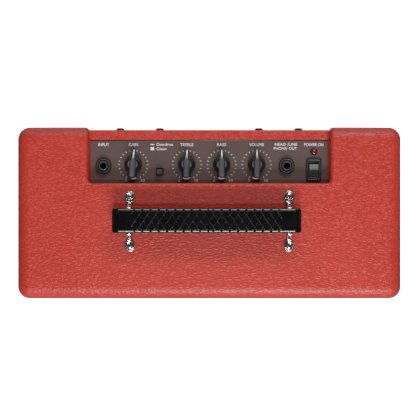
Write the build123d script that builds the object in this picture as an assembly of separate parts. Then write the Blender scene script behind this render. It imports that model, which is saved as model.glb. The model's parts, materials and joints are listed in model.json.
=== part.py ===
from build123d import *
import os
from math import cos, radians, sin

# A small combo guitar amplifier: a vinyl-covered box with a recessed control panel at the back of
# its top, a strap handle in front of the panel, and one loudspeaker behind a grille cloth.
# Millimetres. X runs to the right, Y to the back and Z up. The origin is on the floor, under the
# middle of the cabinet.

# ---- cabinet ----
WIDTH = 380.0
DEPTH = 170.0
FOOT_HEIGHT = 12.0
TOP_Z = 260.0
WALL = 16.0  # board and covering together
VINYL = 0.6
EDGE_RADIUS = 12.0
HALF_W = WIDTH / 2
HALF_D = DEPTH / 2
INNER_X = HALF_W - WALL
FLOOR_Z = FOOT_HEIGHT + WALL
CEILING_Z = TOP_Z - WALL

# ---- control recess in the top ----
RECESS_HALF_W = 119.8
RECESS_FRONT_Y = 29.6
RECESS_CORNER = 4.0
RECESS_LIP = 3.5
PANEL_Z = CEILING_Z  # top face of the control panel
PANEL_THICK = 1.3

# ---- control positions on the panel ----
KNOB_Y = 48.1
JACK_Y = 46.9
INPUT_X = -105.5
GAIN_X = -75.8
BUTTON_X, BUTTON_Y = -49.5, 40.9
TREBLE_X = -22.5
BASS_X = 12.3
VOLUME_X = 47.2
PHONES_X = 77.1
POWER_X, POWER_Y = 104.2, 43.1
LED_X, LED_Y = 104.4, 61.0
KNOBS = {"gain": GAIN_X, "treble": TREBLE_X, "bass": BASS_X, "volume": VOLUME_X}
REST_TURNS = {"gain": -4.0, "treble": -1.5, "bass": -0.5, "volume": -1.0}  # degrees about +Z

# ---- front and back ----
CLOTH_FRONT_Y = -HALF_D + 8.0
CLOTH_THICK = 1.0
BAFFLE_THICK = 12.0
BAFFLE_FRONT_Y = CLOTH_FRONT_Y + CLOTH_THICK
BAFFLE_BACK_Y = BAFFLE_FRONT_Y + BAFFLE_THICK
PIPING_RADIUS = 2.0
BACK_OUTER_Y = HALF_D - 2.1
BACK_THICK = 10.0
BACK_INNER_Y = BACK_OUTER_Y - BACK_THICK
BATTEN = 14.0
FIT_GAP = 0.3

# ---- loudspeaker ----
SPEAKER_Z = 128.0
SPEAKER_RADIUS = 82.5
BAFFLE_HOLE_RADIUS = 72.0
SPEAKER_BOLT_RADIUS = 77.5

# ---- handle ----
HANDLE_Y = -7.2
BRACKET_X = 78.3
BRACKET_Y = -8.1
TAB_OFFSET_Y = 24.4  # from the strap's centre line to each fixing screw
TAB_RADIUS = 5.2
BAR_WIDTH = 5.0
BAR_THICK = 1.6
STRAP_CENTRE_X = -2.6
STRAP_LENGTH = 184.0
STRAP_WIDTH = 24.1
STRAP_THICK = 8.0
STRAP_BOTTOM_Z = TOP_Z + 12.5
STRAP_HINGE_X = 22.0
HINGE_GAP = 0.2
SLOT_HEIGHT = 4.6
SLOT_END_WALL = 3.3
SLOT_LENGTH = 30.0

PARTS = {}


def block(x0, x1, y0, y1, z0, z1):
    """A box from its two corners."""
    return Pos((x0 + x1) / 2, (y0 + y1) / 2, (z0 + z1) / 2) * Box(x1 - x0, y1 - y0, z1 - z0)


def rod(radius, x, y, z0, z1):
    """An upright cylinder."""
    return Pos(x, y, (z0 + z1) / 2) * Cylinder(radius, z1 - z0)


def rod_y(radius, x, z, y0, y1):
    """A cylinder that runs front to back."""
    return Pos(x, (y0 + y1) / 2, z) * Rot(90, 0, 0) * Cylinder(radius, y1 - y0)


def rod_x(radius, y, z, x0, x1):
    """A cylinder that runs left to right."""
    return Pos((x0 + x1) / 2, y, z) * Rot(0, 90, 0) * Cylinder(radius, x1 - x0)


def turned_y(points, z):
    """A solid turned about a front-to-back axis at height z, from (radius, y) points."""
    profile = make_face(Polyline(*points, close=True))
    return Pos(0, 0, z) * revolve(profile, Axis.Y, 360)


def hexagon_nut(across_flats, hole_radius, height):
    """A hexagonal nut standing on z = 0."""
    corner_radius = across_flats / 2 / cos(radians(30))
    body = extrude(RegularPolygon(corner_radius, 6), height)
    return body - Pos(0, 0, height / 2) * Cylinder(hole_radius, height * 2)


def pan_screw(head_radius, head_height, shank_radius, length):
    """A cross-head screw along Z: the head stands on z = 0 and the shank points down."""
    head = Pos(0, 0, head_height / 2) * Cylinder(head_radius, head_height)
    head = fillet(head.edges().sort_by(Axis.Z)[-1], head_height * 0.75)
    slot_depth = head_height * 0.55
    slot_z = head_height - slot_depth / 2
    slot = Box(head_radius * 1.1, head_radius * 0.26, slot_depth)
    cross = Pos(0, 0, slot_z) * (slot + Rot(0, 0, 90) * slot)
    return head + Pos(0, 0, -length / 2) * Cylinder(shank_radius, length) - cross


def together(shapes):
    """Several separate solids as one node."""
    return Compound(children=list(shapes))


def cut(body, tools):
    """Body with every tool taken away."""
    for tool in tools:
        body = body - tool
    return body


# ------------------------------------------------------------------ cabinet boards and covering
def rounded_cabinet(inset):
    """The cabinet's outer form, moved in by inset, as one block with all its edges rounded."""
    solid = block(
        -HALF_W + inset, HALF_W - inset, -HALF_D + inset, HALF_D - inset, FOOT_HEIGHT + inset, TOP_Z - inset
    )
    return fillet(solid.edges(), EDGE_RADIUS - inset)


def recess_cutter(grow):
    """The control recess as a block open to the back, its front corners rounded."""
    half_w = RECESS_HALF_W + grow
    cutter = block(-half_w, half_w, RECESS_FRONT_Y - grow, DEPTH, CEILING_Z - grow, TOP_Z + 20)
    front_corners = cutter.edges().filter_by(Axis.Z).sort_by(Axis.Y)[:2]
    return fillet(front_corners, RECESS_CORNER + grow)


def recess_rim(solid, grow):
    """The edges where the recess walls meet the cabinet's outer faces."""
    rim = []
    for edge in solid.edges():
        c = edge.center()
        on_top = c.Z > TOP_Z - grow - 0.05 and abs(c.X) < RECESS_HALF_W + grow + 0.05
        on_top = on_top and c.Y > RECESS_FRONT_Y - grow - 0.05
        on_side = abs(abs(c.X) - RECESS_HALF_W - grow) < 0.05
        at_back = on_side and c.Y > HALF_D - EDGE_RADIUS and c.Z > CEILING_Z + 0.5
        if on_top or at_back:
            rim.append(edge)
    return rim


def cabinet_form(inset):
    """The rounded cabinet with the recess cut into its top and the recess rim rounded over."""
    solid = rounded_cabinet(inset) - recess_cutter(inset)
    return fillet(recess_rim(solid, inset), RECESS_LIP - inset)


def make_cabinet():
    outer = cabinet_form(0.0)
    core = cabinet_form(VINYL)
    bay = block(-INNER_X, INNER_X, -DEPTH, DEPTH, FLOOR_Z, CEILING_Z)
    wide_x, wide_z0, wide_z1 = INNER_X + VINYL, FLOOR_Z - VINYL, CEILING_Z + VINYL
    wide_bay = block(-wide_x, wide_x, -DEPTH, DEPTH, wide_z0, wide_z1)
    lined_y0, lined_y1 = BAFFLE_BACK_Y - 2.0, BACK_INNER_Y - BATTEN
    unlined = block(-wide_x, wide_x, lined_y0, lined_y1, wide_z0, wide_z1)
    wood = core - wide_bay
    recess_way = recess_cutter(0.0)
    covering = outer - bay - wood - unlined - recess_way
    top = wood & block(-WIDTH, WIDTH, -DEPTH, DEPTH, wide_z1, TOP_Z)
    bottom = wood & block(-WIDTH, WIDTH, -DEPTH, DEPTH, 0, wide_z0)
    left = wood & block(-WIDTH, -wide_x, -DEPTH, DEPTH, wide_z0, wide_z1)
    right = wood & block(wide_x, WIDTH, -DEPTH, DEPTH, wide_z0, wide_z1)
    return covering, top, bottom, left, right


def make_battens():
    """Strips glued inside the cabinet that the back panel is screwed to."""
    y0, y1 = BACK_INNER_Y - BATTEN, BACK_INNER_Y
    x_out, z_low = INNER_X, FLOOR_Z
    z_top = CEILING_Z - 50.0
    left = block(-x_out, -x_out + BATTEN, y0, y1, z_low, z_top)
    right = block(x_out - BATTEN, x_out, y0, y1, z_low, z_top)
    bottom = block(-x_out + BATTEN + 1, x_out - BATTEN - 1, y0, y1, z_low, z_low + BATTEN)
    return [left, right, bottom]


# ------------------------------------------------------------------ back panel
BACK_X = INNER_X - FIT_GAP
BACK_Z0, BACK_Z1 = FLOOR_Z + FIT_GAP, CEILING_Z - FIT_GAP
GLAND_X, GLAND_Z = 118.0, 62.0
GLAND_RADIUS = 9.0
CORD_HOLE_RADIUS = 3.6
BACK_HEAD_RADIUS = 4.0
TOP_SCREW_XS = (-89.6, -49.8, 49.8, 89.6)
TOP_SCREW_Z = CEILING_Z - 9.0


def back_screw_places():
    """(x, z) of every screw in the back panel."""
    side_x = INNER_X - BATTEN / 2
    low_z = FLOOR_Z + BATTEN / 2
    places = [(x, TOP_SCREW_Z) for x in TOP_SCREW_XS]
    places += [(side, z) for side in (-side_x, side_x) for z in (low_z, 104.0, 176.0)]
    places += [(x, low_z) for x in (-55.0, 55.0)]
    return places


def make_back_screws():
    screw = Rot(-90, 0, 0) * pan_screw(BACK_HEAD_RADIUS, 2.2, 1.7, 16.0)
    return [Pos(x, BACK_OUTER_Y, z) * screw for x, z in back_screw_places()]


def make_back_panel(screws):
    gland_hole = rod_y(GLAND_RADIUS - 1.5, GLAND_X, GLAND_Z, 0, DEPTH)
    outside = block(-BACK_X, BACK_X, BACK_INNER_Y, BACK_OUTER_Y, BACK_Z0, BACK_Z1)
    outside = fillet(outside.edges().group_by(Axis.Y)[-1], 2.0)
    board = block(
        -BACK_X + VINYL, BACK_X - VINYL, BACK_INNER_Y, BACK_OUTER_Y - VINYL, BACK_Z0 + VINYL, BACK_Z1 - VINYL
    )
    board = fillet(board.edges().group_by(Axis.Y)[-1], 2.0 - VINYL)
    covering = outside - board
    return cut(board - gland_hole, screws), cut(covering - gland_hole, screws)


def make_gland():
    """A rubber bush in the back panel that a mains cord passes through."""
    body = rod_y(GLAND_RADIUS - 1.5, GLAND_X, GLAND_Z, BACK_INNER_Y - 3.0, BACK_OUTER_Y)
    outer_flange = rod_y(GLAND_RADIUS + 1.0, GLAND_X, GLAND_Z, BACK_OUTER_Y, BACK_OUTER_Y + 1.0)
    inner_flange = rod_y(GLAND_RADIUS, GLAND_X, GLAND_Z, BACK_INNER_Y - 3.0, BACK_INNER_Y)
    bore = rod_y(CORD_HOLE_RADIUS, GLAND_X, GLAND_Z, 0, DEPTH)
    return body + outer_flange + inner_flange - bore


# ------------------------------------------------------------------ front
def make_front():
    x, z0, z1 = INNER_X - FIT_GAP, FLOOR_Z + FIT_GAP, CEILING_Z - FIT_GAP
    baffle = block(-x, x, BAFFLE_FRONT_Y, BAFFLE_BACK_Y, z0, z1)
    baffle -= rod_y(BAFFLE_HOLE_RADIUS, 0, SPEAKER_Z, -DEPTH, 0)
    cloth = block(-x, x, CLOTH_FRONT_Y, BAFFLE_FRONT_Y, z0, z1)
    inset = PIPING_RADIUS + 0.2
    path_w = 2 * (INNER_X - inset)
    path_h = CEILING_Z - FLOOR_Z - 2 * inset
    piping_y = CLOTH_FRONT_Y - PIPING_RADIUS
    outline = Plane.XZ * RectangleRounded(path_w, path_h, 8.0)
    path = Pos(0, piping_y, (FLOOR_Z + CEILING_Z) / 2) * outline.wire()
    section = Plane(path @ 0, z_dir=path % 0) * Circle(PIPING_RADIUS)
    piping = sweep(section, path)
    return baffle, cloth, piping


# ------------------------------------------------------------------ feet
FOOT_XS, FOOT_YS = (-155.0, 155.0), (-62.0, 62.0)
FOOT_RADIUS = 14.0


def make_feet():
    """Four rubber feet, each with a screw sunk in its underside."""
    foot_profile = Polyline(
        (0, 6.0), (5.5, 6.0), (5.5, 0), (FOOT_RADIUS - 3, 0), (FOOT_RADIUS, 10.0), (FOOT_RADIUS, FOOT_HEIGHT),
        (0, FOOT_HEIGHT), close=True,
    )
    foot = revolve(Plane.XZ * make_face(foot_profile), Axis.Z, 360)
    screw = Pos(0, 0, 6.0) * Rot(180, 0, 0) * pan_screw(4.2, 2.4, 2.0, 17.0)
    spots = [Pos(x, y, 0) for x in FOOT_XS for y in FOOT_YS]
    screws = [spot * screw for spot in spots]
    feet = [spot * (foot - screw) for spot in spots]
    return feet, screws


# ------------------------------------------------------------------ chassis and panel
TRAY_HALF_W = 126.0
TRAY_Y0, TRAY_Y1 = 20.0, BACK_INNER_Y - 0.4
TRAY_BOTTOM_Z = 201.0
SHEET = 1.2
FLANGE = 14.0
PANEL_BOTTOM_Z = PANEL_Z - PANEL_THICK
CHASSIS_SCREW_X = TRAY_HALF_W + FLANGE / 2


def make_chassis_screws():
    """Four screws that hold the panel and tray under the top board."""
    screw = Rot(180, 0, 0) * pan_screw(3.5, 2.2, 1.7, 12.0)
    z = PANEL_BOTTOM_Z - SHEET
    return [Pos(x, y, z) * screw for x in (-CHASSIS_SCREW_X, CHASSIS_SCREW_X) for y in (28.0, 62.0)]


def make_tray():
    """A folded steel tray that hangs under the panel, with a flange at each end."""
    top_z = PANEL_BOTTOM_Z
    outside = block(-TRAY_HALF_W, TRAY_HALF_W, TRAY_Y0, TRAY_Y1, TRAY_BOTTOM_Z, top_z)
    in_x, in_z = TRAY_HALF_W - SHEET, TRAY_BOTTOM_Z + SHEET
    inside = block(-in_x, in_x, TRAY_Y0 + SHEET, TRAY_Y1 - SHEET, in_z, top_z + 1)
    tray = outside - inside
    for side in (-1, 1):
        x_in, x_out = side * TRAY_HALF_W, side * (TRAY_HALF_W + FLANGE)
        tray += block(min(x_in, x_out), max(x_in, x_out), TRAY_Y0, TRAY_Y1, top_z - SHEET, top_z)
    for x in (-70.0, -56.0, -42.0, -28.0, 28.0, 42.0, 56.0, 70.0):
        tray -= block(x - 3, x + 3, TRAY_Y0 + 10, TRAY_Y1 - 10, TRAY_BOTTOM_Z - 1, TRAY_BOTTOM_Z + 2)
    return tray - rod_y(4.0, LEAD_X, LEAD_Z, TRAY_Y0 - 1, TRAY_Y0 + 3)


def make_panel():
    """The printed control panel with its cut-outs."""
    panel = block(
        -TRAY_HALF_W - FLANGE, TRAY_HALF_W + FLANGE, TRAY_Y0, BACK_INNER_Y - 0.2, PANEL_BOTTOM_Z, PANEL_Z
    )
    z0, z1 = PANEL_Z - 5, PANEL_Z + 5
    holes = [rod(BUSHING_RADIUS + 0.05, x, KNOB_Y, z0, z1) for x in KNOBS.values()]
    holes += [rod(BARREL_RADIUS + 0.05, x, JACK_Y, z0, z1) for x in (INPUT_X, PHONES_X)]
    holes.append(rod(LED_RADIUS + 0.1, LED_X, LED_Y, z0, z1))
    half = BUTTON_HOLE / 2
    holes.append(block(BUTTON_X - half, BUTTON_X + half, BUTTON_Y - half, BUTTON_Y + half, z0, z1))
    half_x, half_y = SWITCH_BODY_X / 2, SWITCH_BODY_Y / 2
    holes.append(block(POWER_X - half_x, POWER_X + half_x, POWER_Y - half_y, POWER_Y + half_y, z0, z1))
    return cut(panel, holes)


# ------------------------------------------------------------------ potentiometers and knobs
BUSHING_RADIUS = 3.5
SHAFT_RADIUS = 3.0
SHAFT_CLEARANCE = 0.05
POT_RADIUS = 8.0
POT_HEIGHT = 9.0
POT_BOTTOM = -PANEL_THICK - POT_HEIGHT
SHAFT_BOTTOM = POT_BOTTOM + 1.5
SHAFT_TOP = 12.0
BUSHING_TOP = 3.2
KNOB_FOOT = 0.8
KNOB_SKIRT_RADIUS = 8.8
KNOB_HOLLOW_RADIUS = 6.5
KNOB_HOLLOW_TOP = 3.8
KNOB_TOP = 14.2
KNOB_BODY_RADIUS = 4.9
POINTER_REACH = 15.3
POINTER_TIP_TOP = 5.6
TAIL_HALF_WIDTH = 3.6


def at_panel(x, y):
    """A place on the panel's top face."""
    return Pos(x, y, PANEL_Z)


def make_pot():
    """A potentiometer's case and threaded bushing, with z = 0 on the panel's top face."""
    case = rod(POT_RADIUS, 0, 0, POT_BOTTOM, -PANEL_THICK)
    bushing = rod(BUSHING_RADIUS, 0, 0, -PANEL_THICK, BUSHING_TOP)
    tag = block(-6.0, 6.0, -POT_RADIUS - 4.0, 0, POT_BOTTOM, POT_BOTTOM + 1.6)
    bore = rod(SHAFT_RADIUS + SHAFT_CLEARANCE, 0, 0, SHAFT_BOTTOM - 0.1, BUSHING_TOP + 1)
    return case + bushing + tag - bore


def make_pot_nut():
    washer = rod(6.0, 0, 0, 0, 0.5) - rod(BUSHING_RADIUS, 0, 0, -1, 1)
    nut = Pos(0, 0, 0.5) * hexagon_nut(10.0, BUSHING_RADIUS, 2.2)
    return [washer, nut]


def make_shaft():
    """The turning shaft, with a flat on its upper end."""
    shaft = rod(SHAFT_RADIUS, 0, 0, SHAFT_BOTTOM, SHAFT_TOP)
    return shaft - block(-5, 5, -5, -SHAFT_RADIUS + 1.2, BUSHING_TOP + 0.4, SHAFT_TOP + 1)


def make_knob(shaft):
    """A pointer knob: a round skirt, a finger bar whose tail points to the front, and a nose that
    slopes down to a thin pointer at the back."""
    tail_y = -POINTER_REACH
    plan = Pos(0, tail_y / 2) * Rectangle(2 * TAIL_HALF_WIDTH, -tail_y)
    plan += Circle(KNOB_BODY_RADIUS)
    plan += make_face(
        Polyline((-2.3, 2.0), (2.3, 2.0), (0.65, POINTER_REACH), (-0.65, POINTER_REACH), close=True)
    )
    upright = extrude(plan, KNOB_TOP)
    nose_top, tip = (4.6, KNOB_TOP - 0.3), (POINTER_REACH, POINTER_TIP_TOP)
    nose = Spline(nose_top, (8.5, 9.2), tip, tangents=((1, -1.1), (1, -0.2)))
    outline = nose + Polyline(
        tip, (POINTER_REACH, 1.6), (tail_y, 1.6), (tail_y, 4.6), (tail_y + 1.9, 5.4),
        (tail_y + 2.5, KNOB_TOP - 0.5), (-2.0, KNOB_TOP), nose_top,
    )
    side = extrude(Plane.YZ * make_face(outline), 12, both=True)
    bar = upright & side
    bar = fillet(bar.edges().filter_by(Axis.Z).sort_by(Axis.Y)[:2], 1.6)
    skirt_profile = Polyline(
        (0, KNOB_FOOT), (KNOB_SKIRT_RADIUS, KNOB_FOOT), (KNOB_SKIRT_RADIUS - 0.4, 4.2),
        (KNOB_SKIRT_RADIUS - 1.4, 5.2), (5.4, 7.6), (4.6, 10.0), (0, 10.0), close=True,
    )
    skirt = revolve(Plane.XZ * make_face(skirt_profile), Axis.Z, 360)
    hollow = rod(KNOB_HOLLOW_RADIUS, 0, 0, -1, KNOB_HOLLOW_TOP)
    return bar + skirt - hollow - shaft


# ------------------------------------------------------------------ jacks
BARREL_RADIUS = 4.6
JACK_BORE_RADIUS = 3.25
JACK_BORE_DEPTH = 30.0
BARREL_TOP = 5.5
JACK_NUT_RADIUS = 7.4


def make_jack():
    """A quarter-inch socket: a moulded case under the panel and a barrel that comes through it."""
    case = block(-8.0, 8.0, -10.0, 10.0, -26.5, -PANEL_THICK)
    barrel = rod(BARREL_RADIUS, 0, 0, -PANEL_THICK, BARREL_TOP)
    rim = fillet(barrel.edges().sort_by(Axis.Z)[-1], 0.8)
    bore = rod(JACK_BORE_RADIUS, 0, 0, BARREL_TOP - JACK_BORE_DEPTH, BARREL_TOP + 1)
    return case + rim - bore


def make_jack_nut():
    """A moulded ring nut with a twelve-sided grip on a round flange."""
    flange = rod(JACK_NUT_RADIUS + 0.7, 0, 0, 0, 1.2)
    grip = Pos(0, 0, 1.2) * extrude(RegularPolygon(JACK_NUT_RADIUS, 12), 2.6)
    grip = chamfer(grip.edges().group_by(Axis.Z)[-1], 0.7)
    return flange + grip - rod(BARREL_RADIUS, 0, 0, -1, 8)


# ------------------------------------------------------------------ push switch
BUTTON_SIZE = 5.5
BUTTON_HOLE = 7.8
BUTTON_TOP = 5.0
BUTTON_BOTTOM = -8.0
BUTTON_TRAVEL = 2.0


def make_push_switch():
    case = block(-5.0, 5.0, -5.0, 5.0, -15.0, -PANEL_THICK)
    half = BUTTON_SIZE / 2 + 0.15
    return case - block(-half, half, -half, half, BUTTON_BOTTOM - BUTTON_TRAVEL - 0.5, 1)


def make_button():
    half = BUTTON_SIZE / 2
    cap = block(-half, half, -half, half, BUTTON_BOTTOM, BUTTON_TOP)
    cap = fillet(cap.edges().filter_by(Axis.Z), 0.5)
    return fillet(cap.faces().sort_by(Axis.Z)[-1].edges(), 0.45)


# ------------------------------------------------------------------ power switch and lamp
SWITCH_FLANGE_X, SWITCH_FLANGE_Y = 14.9, 22.3
SWITCH_FLANGE_TOP = 2.0
SWITCH_BODY_X, SWITCH_BODY_Y = 13.2, 19.6
SWITCH_WELL_X, SWITCH_WELL_Y = 10.6, 14.6
PIVOT_HEIGHT = 0.5
ROCKER_HALF_Y = 6.4
ROCKER_WIDTH = 8.8
ROCKER_TILT = 11.0
PIVOT_RADIUS = 1.0
LED_RADIUS = 2.8


def make_switch_housing():
    flange = Pos(0, 0, SWITCH_FLANGE_TOP / 2) * Box(SWITCH_FLANGE_X, SWITCH_FLANGE_Y, SWITCH_FLANGE_TOP)
    flange = fillet(flange.edges().filter_by(Axis.Z), 1.0)
    flange = chamfer(flange.faces().sort_by(Axis.Z)[-1].edges(), 0.5)
    half_x, half_y = SWITCH_BODY_X / 2, SWITCH_BODY_Y / 2
    body = block(-half_x, half_x, -half_y, half_y, -17.0, 0)
    blades = [block(-3.2, 3.2, y - 0.4, y + 0.4, -25.0, -17.0) for y in (-6.0, 6.0)]
    well_x, well_y = SWITCH_WELL_X / 2, SWITCH_WELL_Y / 2
    well = block(-well_x, well_x, -well_y, well_y, -8.5, SWITCH_FLANGE_TOP + 1)
    pivot_holes = rod_x(PIVOT_RADIUS + 0.05, 0, PIVOT_HEIGHT, -6.5, 6.5)
    return flange + body + blades[0] + blades[1] - well - pivot_holes


def make_rocker():
    """The rocker in its off position, pressed down at its front edge."""
    profile = Polyline(
        (-ROCKER_HALF_Y, 3.2), (0, 1.6), (ROCKER_HALF_Y, 3.2), (ROCKER_HALF_Y, -2.6), (2.4, -5.6),
        (-2.4, -5.6), (-ROCKER_HALF_Y, -2.6), close=True,
    )
    body = extrude(Plane.YZ * make_face(profile), ROCKER_WIDTH / 2, both=True)
    body = fillet(body.edges().filter_by(Axis.X).group_by(Axis.Z)[-1], 0.5)
    pins = rod_x(PIVOT_RADIUS, 0, 0, -6.3, 6.3)
    return Pos(0, 0, PIVOT_HEIGHT) * Rot(ROCKER_TILT, 0, 0) * (body + pins)


def make_led():
    lens = rod(LED_RADIUS, 0, 0, -5.5, 1.0) + Pos(0, 0, 1.0) * Sphere(LED_RADIUS)
    lens -= rod(LED_RADIUS + 1, 0, 0, -9.0, -5.5)
    return lens + rod(LED_RADIUS + 0.5, 0, 0, -6.5, -5.5)


# ------------------------------------------------------------------ circuit board
BOARD_TOP = POT_BOTTOM
BOARD_THICK = 1.6


def make_board():
    """The main board under the potentiometers, cut back round the deeper parts."""
    board = block(GAIN_X - 14, VOLUME_X + 14, TRAY_Y0 + 6, TRAY_Y1 - 6, BOARD_TOP - BOARD_THICK, BOARD_TOP)
    return board - block(BUTTON_X - 5.2, BUTTON_X + 5.2, BUTTON_Y - 5.2, BUTTON_Y + 5.2, -60, 0)


def make_capacitors():
    z1 = BOARD_TOP - BOARD_THICK
    return [rod(6.0, x, y, z1 - 20.0, z1) for x, y in ((20.0, 34.0), (36.0, 34.0), (-4.0, 56.0))]


def make_heat_sink():
    """A finned block on the board, with one flat side for the chip."""
    z1 = BOARD_TOP - BOARD_THICK
    sink = block(14.0, 54.0, 52.0, 55.0, z1 - 22.0, z1)
    for i in range(7):
        x = 14.0 + i * 6.3
        sink += block(x, x + 2.0, 55.0, 65.0, z1 - 22.0, z1)
    return sink


def make_chip():
    z1 = BOARD_TOP - BOARD_THICK
    return block(27.0, 41.0, 47.4, 52.0, z1 - 16.0, z1)


# ------------------------------------------------------------------ transformer
TRAFO_X, TRAFO_Y = 112.0, 34.0
TRAFO_SEAT_Z = FLOOR_Z - VINYL


def make_transformer():
    """A frame transformer on the cabinet's floor: core, windings and the strap that holds it."""
    z0 = TRAFO_SEAT_Z + 1.5
    core = block(-24, 24, -10, 10, z0, z0 + 40)
    windows = block(-16, -8, -11, 11, z0 + 8, z0 + 32) + block(8, 16, -11, 11, z0 + 8, z0 + 32)
    core -= windows
    coil = block(-16, 16, -17, 17, z0 + 8, z0 + 32) - block(-8, 8, -10, 10, z0 + 7, z0 + 33)
    coil = fillet(coil.edges().filter_by(Axis.Z).group_by(Axis.X)[-1], 4.0)
    coil = fillet(coil.edges().filter_by(Axis.Z).group_by(Axis.X)[0], 4.0)
    strap = block(-25.2, 25.2, -9, 9, TRAFO_SEAT_Z, z0 + 41.2) - block(-24, 24, -10, 10, z0, z0 + 40)
    feet = block(-36, -25.2, -9, 9, TRAFO_SEAT_Z, z0) + block(25.2, 36, -9, 9, TRAFO_SEAT_Z, z0)
    screw = Pos(0, 0, z0) * pan_screw(3.5, 2.2, 1.7, 12.0)
    screws = [Pos(x, 0, 0) * screw for x in (-31.0, 31.0)]
    place = Pos(TRAFO_X, TRAFO_Y, 0)
    return place * core, place * coil, place * (strap + feet), [place * s for s in screws]


# ------------------------------------------------------------------ loudspeaker
GAP_INNER = 12.2
GAP_OUTER = 13.9
CONE_EDGE_RADIUS = 62.0


def make_speaker():
    z = SPEAKER_Z
    y0 = BAFFLE_BACK_Y
    basket = turned_y(
        [
            (70.5, y0), (SPEAKER_RADIUS, y0), (SPEAKER_RADIUS, y0 + 1.2), (74.5, y0 + 1.2), (42.0, y0 + 29.0),
            (42.0, y0 + 34.0), (GAP_OUTER + 1.0, y0 + 34.0), (GAP_OUTER + 1.0, y0 + 32.8), (40.8, y0 + 32.8),
            (40.8, y0 + 28.4), (72.6, y0 + 1.2),
        ],
        z,
    )
    window = block(-13, 13, y0 + 6, y0 + 25, z + 46, z + 80)
    for i in range(6):
        basket -= Pos(0, 0, z) * Rot(0, 30 + 60 * i, 0) * Pos(0, 0, -z) * window
    top_plate = turned_y([(GAP_OUTER, y0 + 34), (37, y0 + 34), (37, y0 + 38), (GAP_OUTER, y0 + 38)], z)
    magnet = turned_y([(20, y0 + 38), (42, y0 + 38), (42, y0 + 51), (20, y0 + 51)], z)
    back_plate = turned_y(
        [
            (0, y0 + 33), (GAP_INNER, y0 + 33), (GAP_INNER, y0 + 51), (38, y0 + 51), (38, y0 + 55.5),
            (0, y0 + 55.5),
        ],
        z,
    )
    coil = turned_y([(12.7, y0 + 22), (13.3, y0 + 22), (13.3, y0 + 40), (12.7, y0 + 40)], z)
    edge = CONE_EDGE_RADIUS
    cone = turned_y([(13.3, y0 + 22), (13.3, y0 + 23), (edge, y0 + 3.0), (edge, y0 + 2.0)], z)
    cap_rise = 7.0
    cap_y = y0 + 18.0
    dome = [(18.0 * sin(radians(a)), cap_y - cap_rise * cos(radians(a))) for a in range(0, 91, 15)]
    shell = [(17.2 * sin(radians(a)), cap_y + 0.6 - cap_rise * cos(radians(a))) for a in range(90, -1, -15)]
    dust_cap = turned_y(dome + shell, z) - turned_y(
        [(13.3, y0 + 22), (13.3, y0 + 30), (edge, y0 + 10), (edge, y0 + 2.0)], z
    )
    roll_centre, outer_roll, inner_roll = 66.3, 4.3, 3.5

    def half_roll(radius, direction):
        angles = [radians(a) for a in range(0, 181, 15)]
        return [(roll_centre + direction * radius * cos(a), y0 + 1.4 - 0.9 * radius * sin(a)) for a in angles]

    surround = turned_y(half_roll(outer_roll, -1) + half_roll(inner_roll, 1), z) + turned_y(
        [(61.2, y0 + 1.2), (62.8, y0 + 1.2), (62.8, y0 + 2.0), (61.2, y0 + 2.0)], z
    )
    wave = [(13.3 + 2.72 * i, y0 + 29.6 + (0.8 if i % 2 else -0.8)) for i in range(11)]
    spider = turned_y(wave + [(r, y + 0.7) for r, y in reversed(wave)], z)
    return basket, top_plate, magnet, back_plate, coil, cone, dust_cap, surround, spider


def make_speaker_screws():
    screw = Rot(-90, 0, 0) * pan_screw(3.6, 2.3, 1.7, 11.0)
    y = BAFFLE_BACK_Y + 1.2
    spots = []
    for angle in (45, 135, 225, 315):
        x, z = SPEAKER_BOLT_RADIUS * cos(radians(angle)), SPEAKER_BOLT_RADIUS * sin(radians(angle))
        spots.append(Pos(x, y, SPEAKER_Z + z) * screw)
    return spots


TERMINAL_Z0 = SPEAKER_Z + 42.0
TERMINAL_Y = BAFFLE_BACK_Y + 31.0
LEAD_X, LEAD_Z = -6.0, 216.0
LEAD_RADIUS = 1.0


def make_terminals():
    """A fibre strip on the basket with two solder lugs."""
    strip = block(-12, 12, TERMINAL_Y, TERMINAL_Y + 1.6, TERMINAL_Z0, TERMINAL_Z0 + 13)
    y0, y1 = TERMINAL_Y + 1.6, TERMINAL_Y + 2.4
    lugs = [block(x - 2, x + 2, y0, y1, TERMINAL_Z0 + 5, TERMINAL_Z0 + 18) for x in (-7, 7)]
    return [strip] + lugs


def make_leads():
    """Two wires from the tray to the loudspeaker's lugs."""
    leads = []
    for side in (-1, 1):
        end_x = 7.0 * side
        start = Vector(LEAD_X + 1.6 * side, TRAY_Y0 + 4.0, LEAD_Z)
        points = [
            start,
            start + Vector(0, -16, 0),
            Vector(LEAD_X + 4 * side, TRAY_Y0 - 28, LEAD_Z - 10),
            Vector(end_x, TERMINAL_Y + 3.4, LEAD_Z - 20),
            Vector(end_x, TERMINAL_Y + 3.4, TERMINAL_Z0 + 13),
        ]
        path = FilletPolyline(*points, radius=[7.0, 9.0, 7.0])
        section = Plane(path @ 0, z_dir=path % 0) * Circle(LEAD_RADIUS)
        leads.append(sweep(section, path))
    return leads


# ------------------------------------------------------------------ handle
BAR_Z = STRAP_BOTTOM_Z + STRAP_THICK / 2 - BAR_THICK / 2


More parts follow.
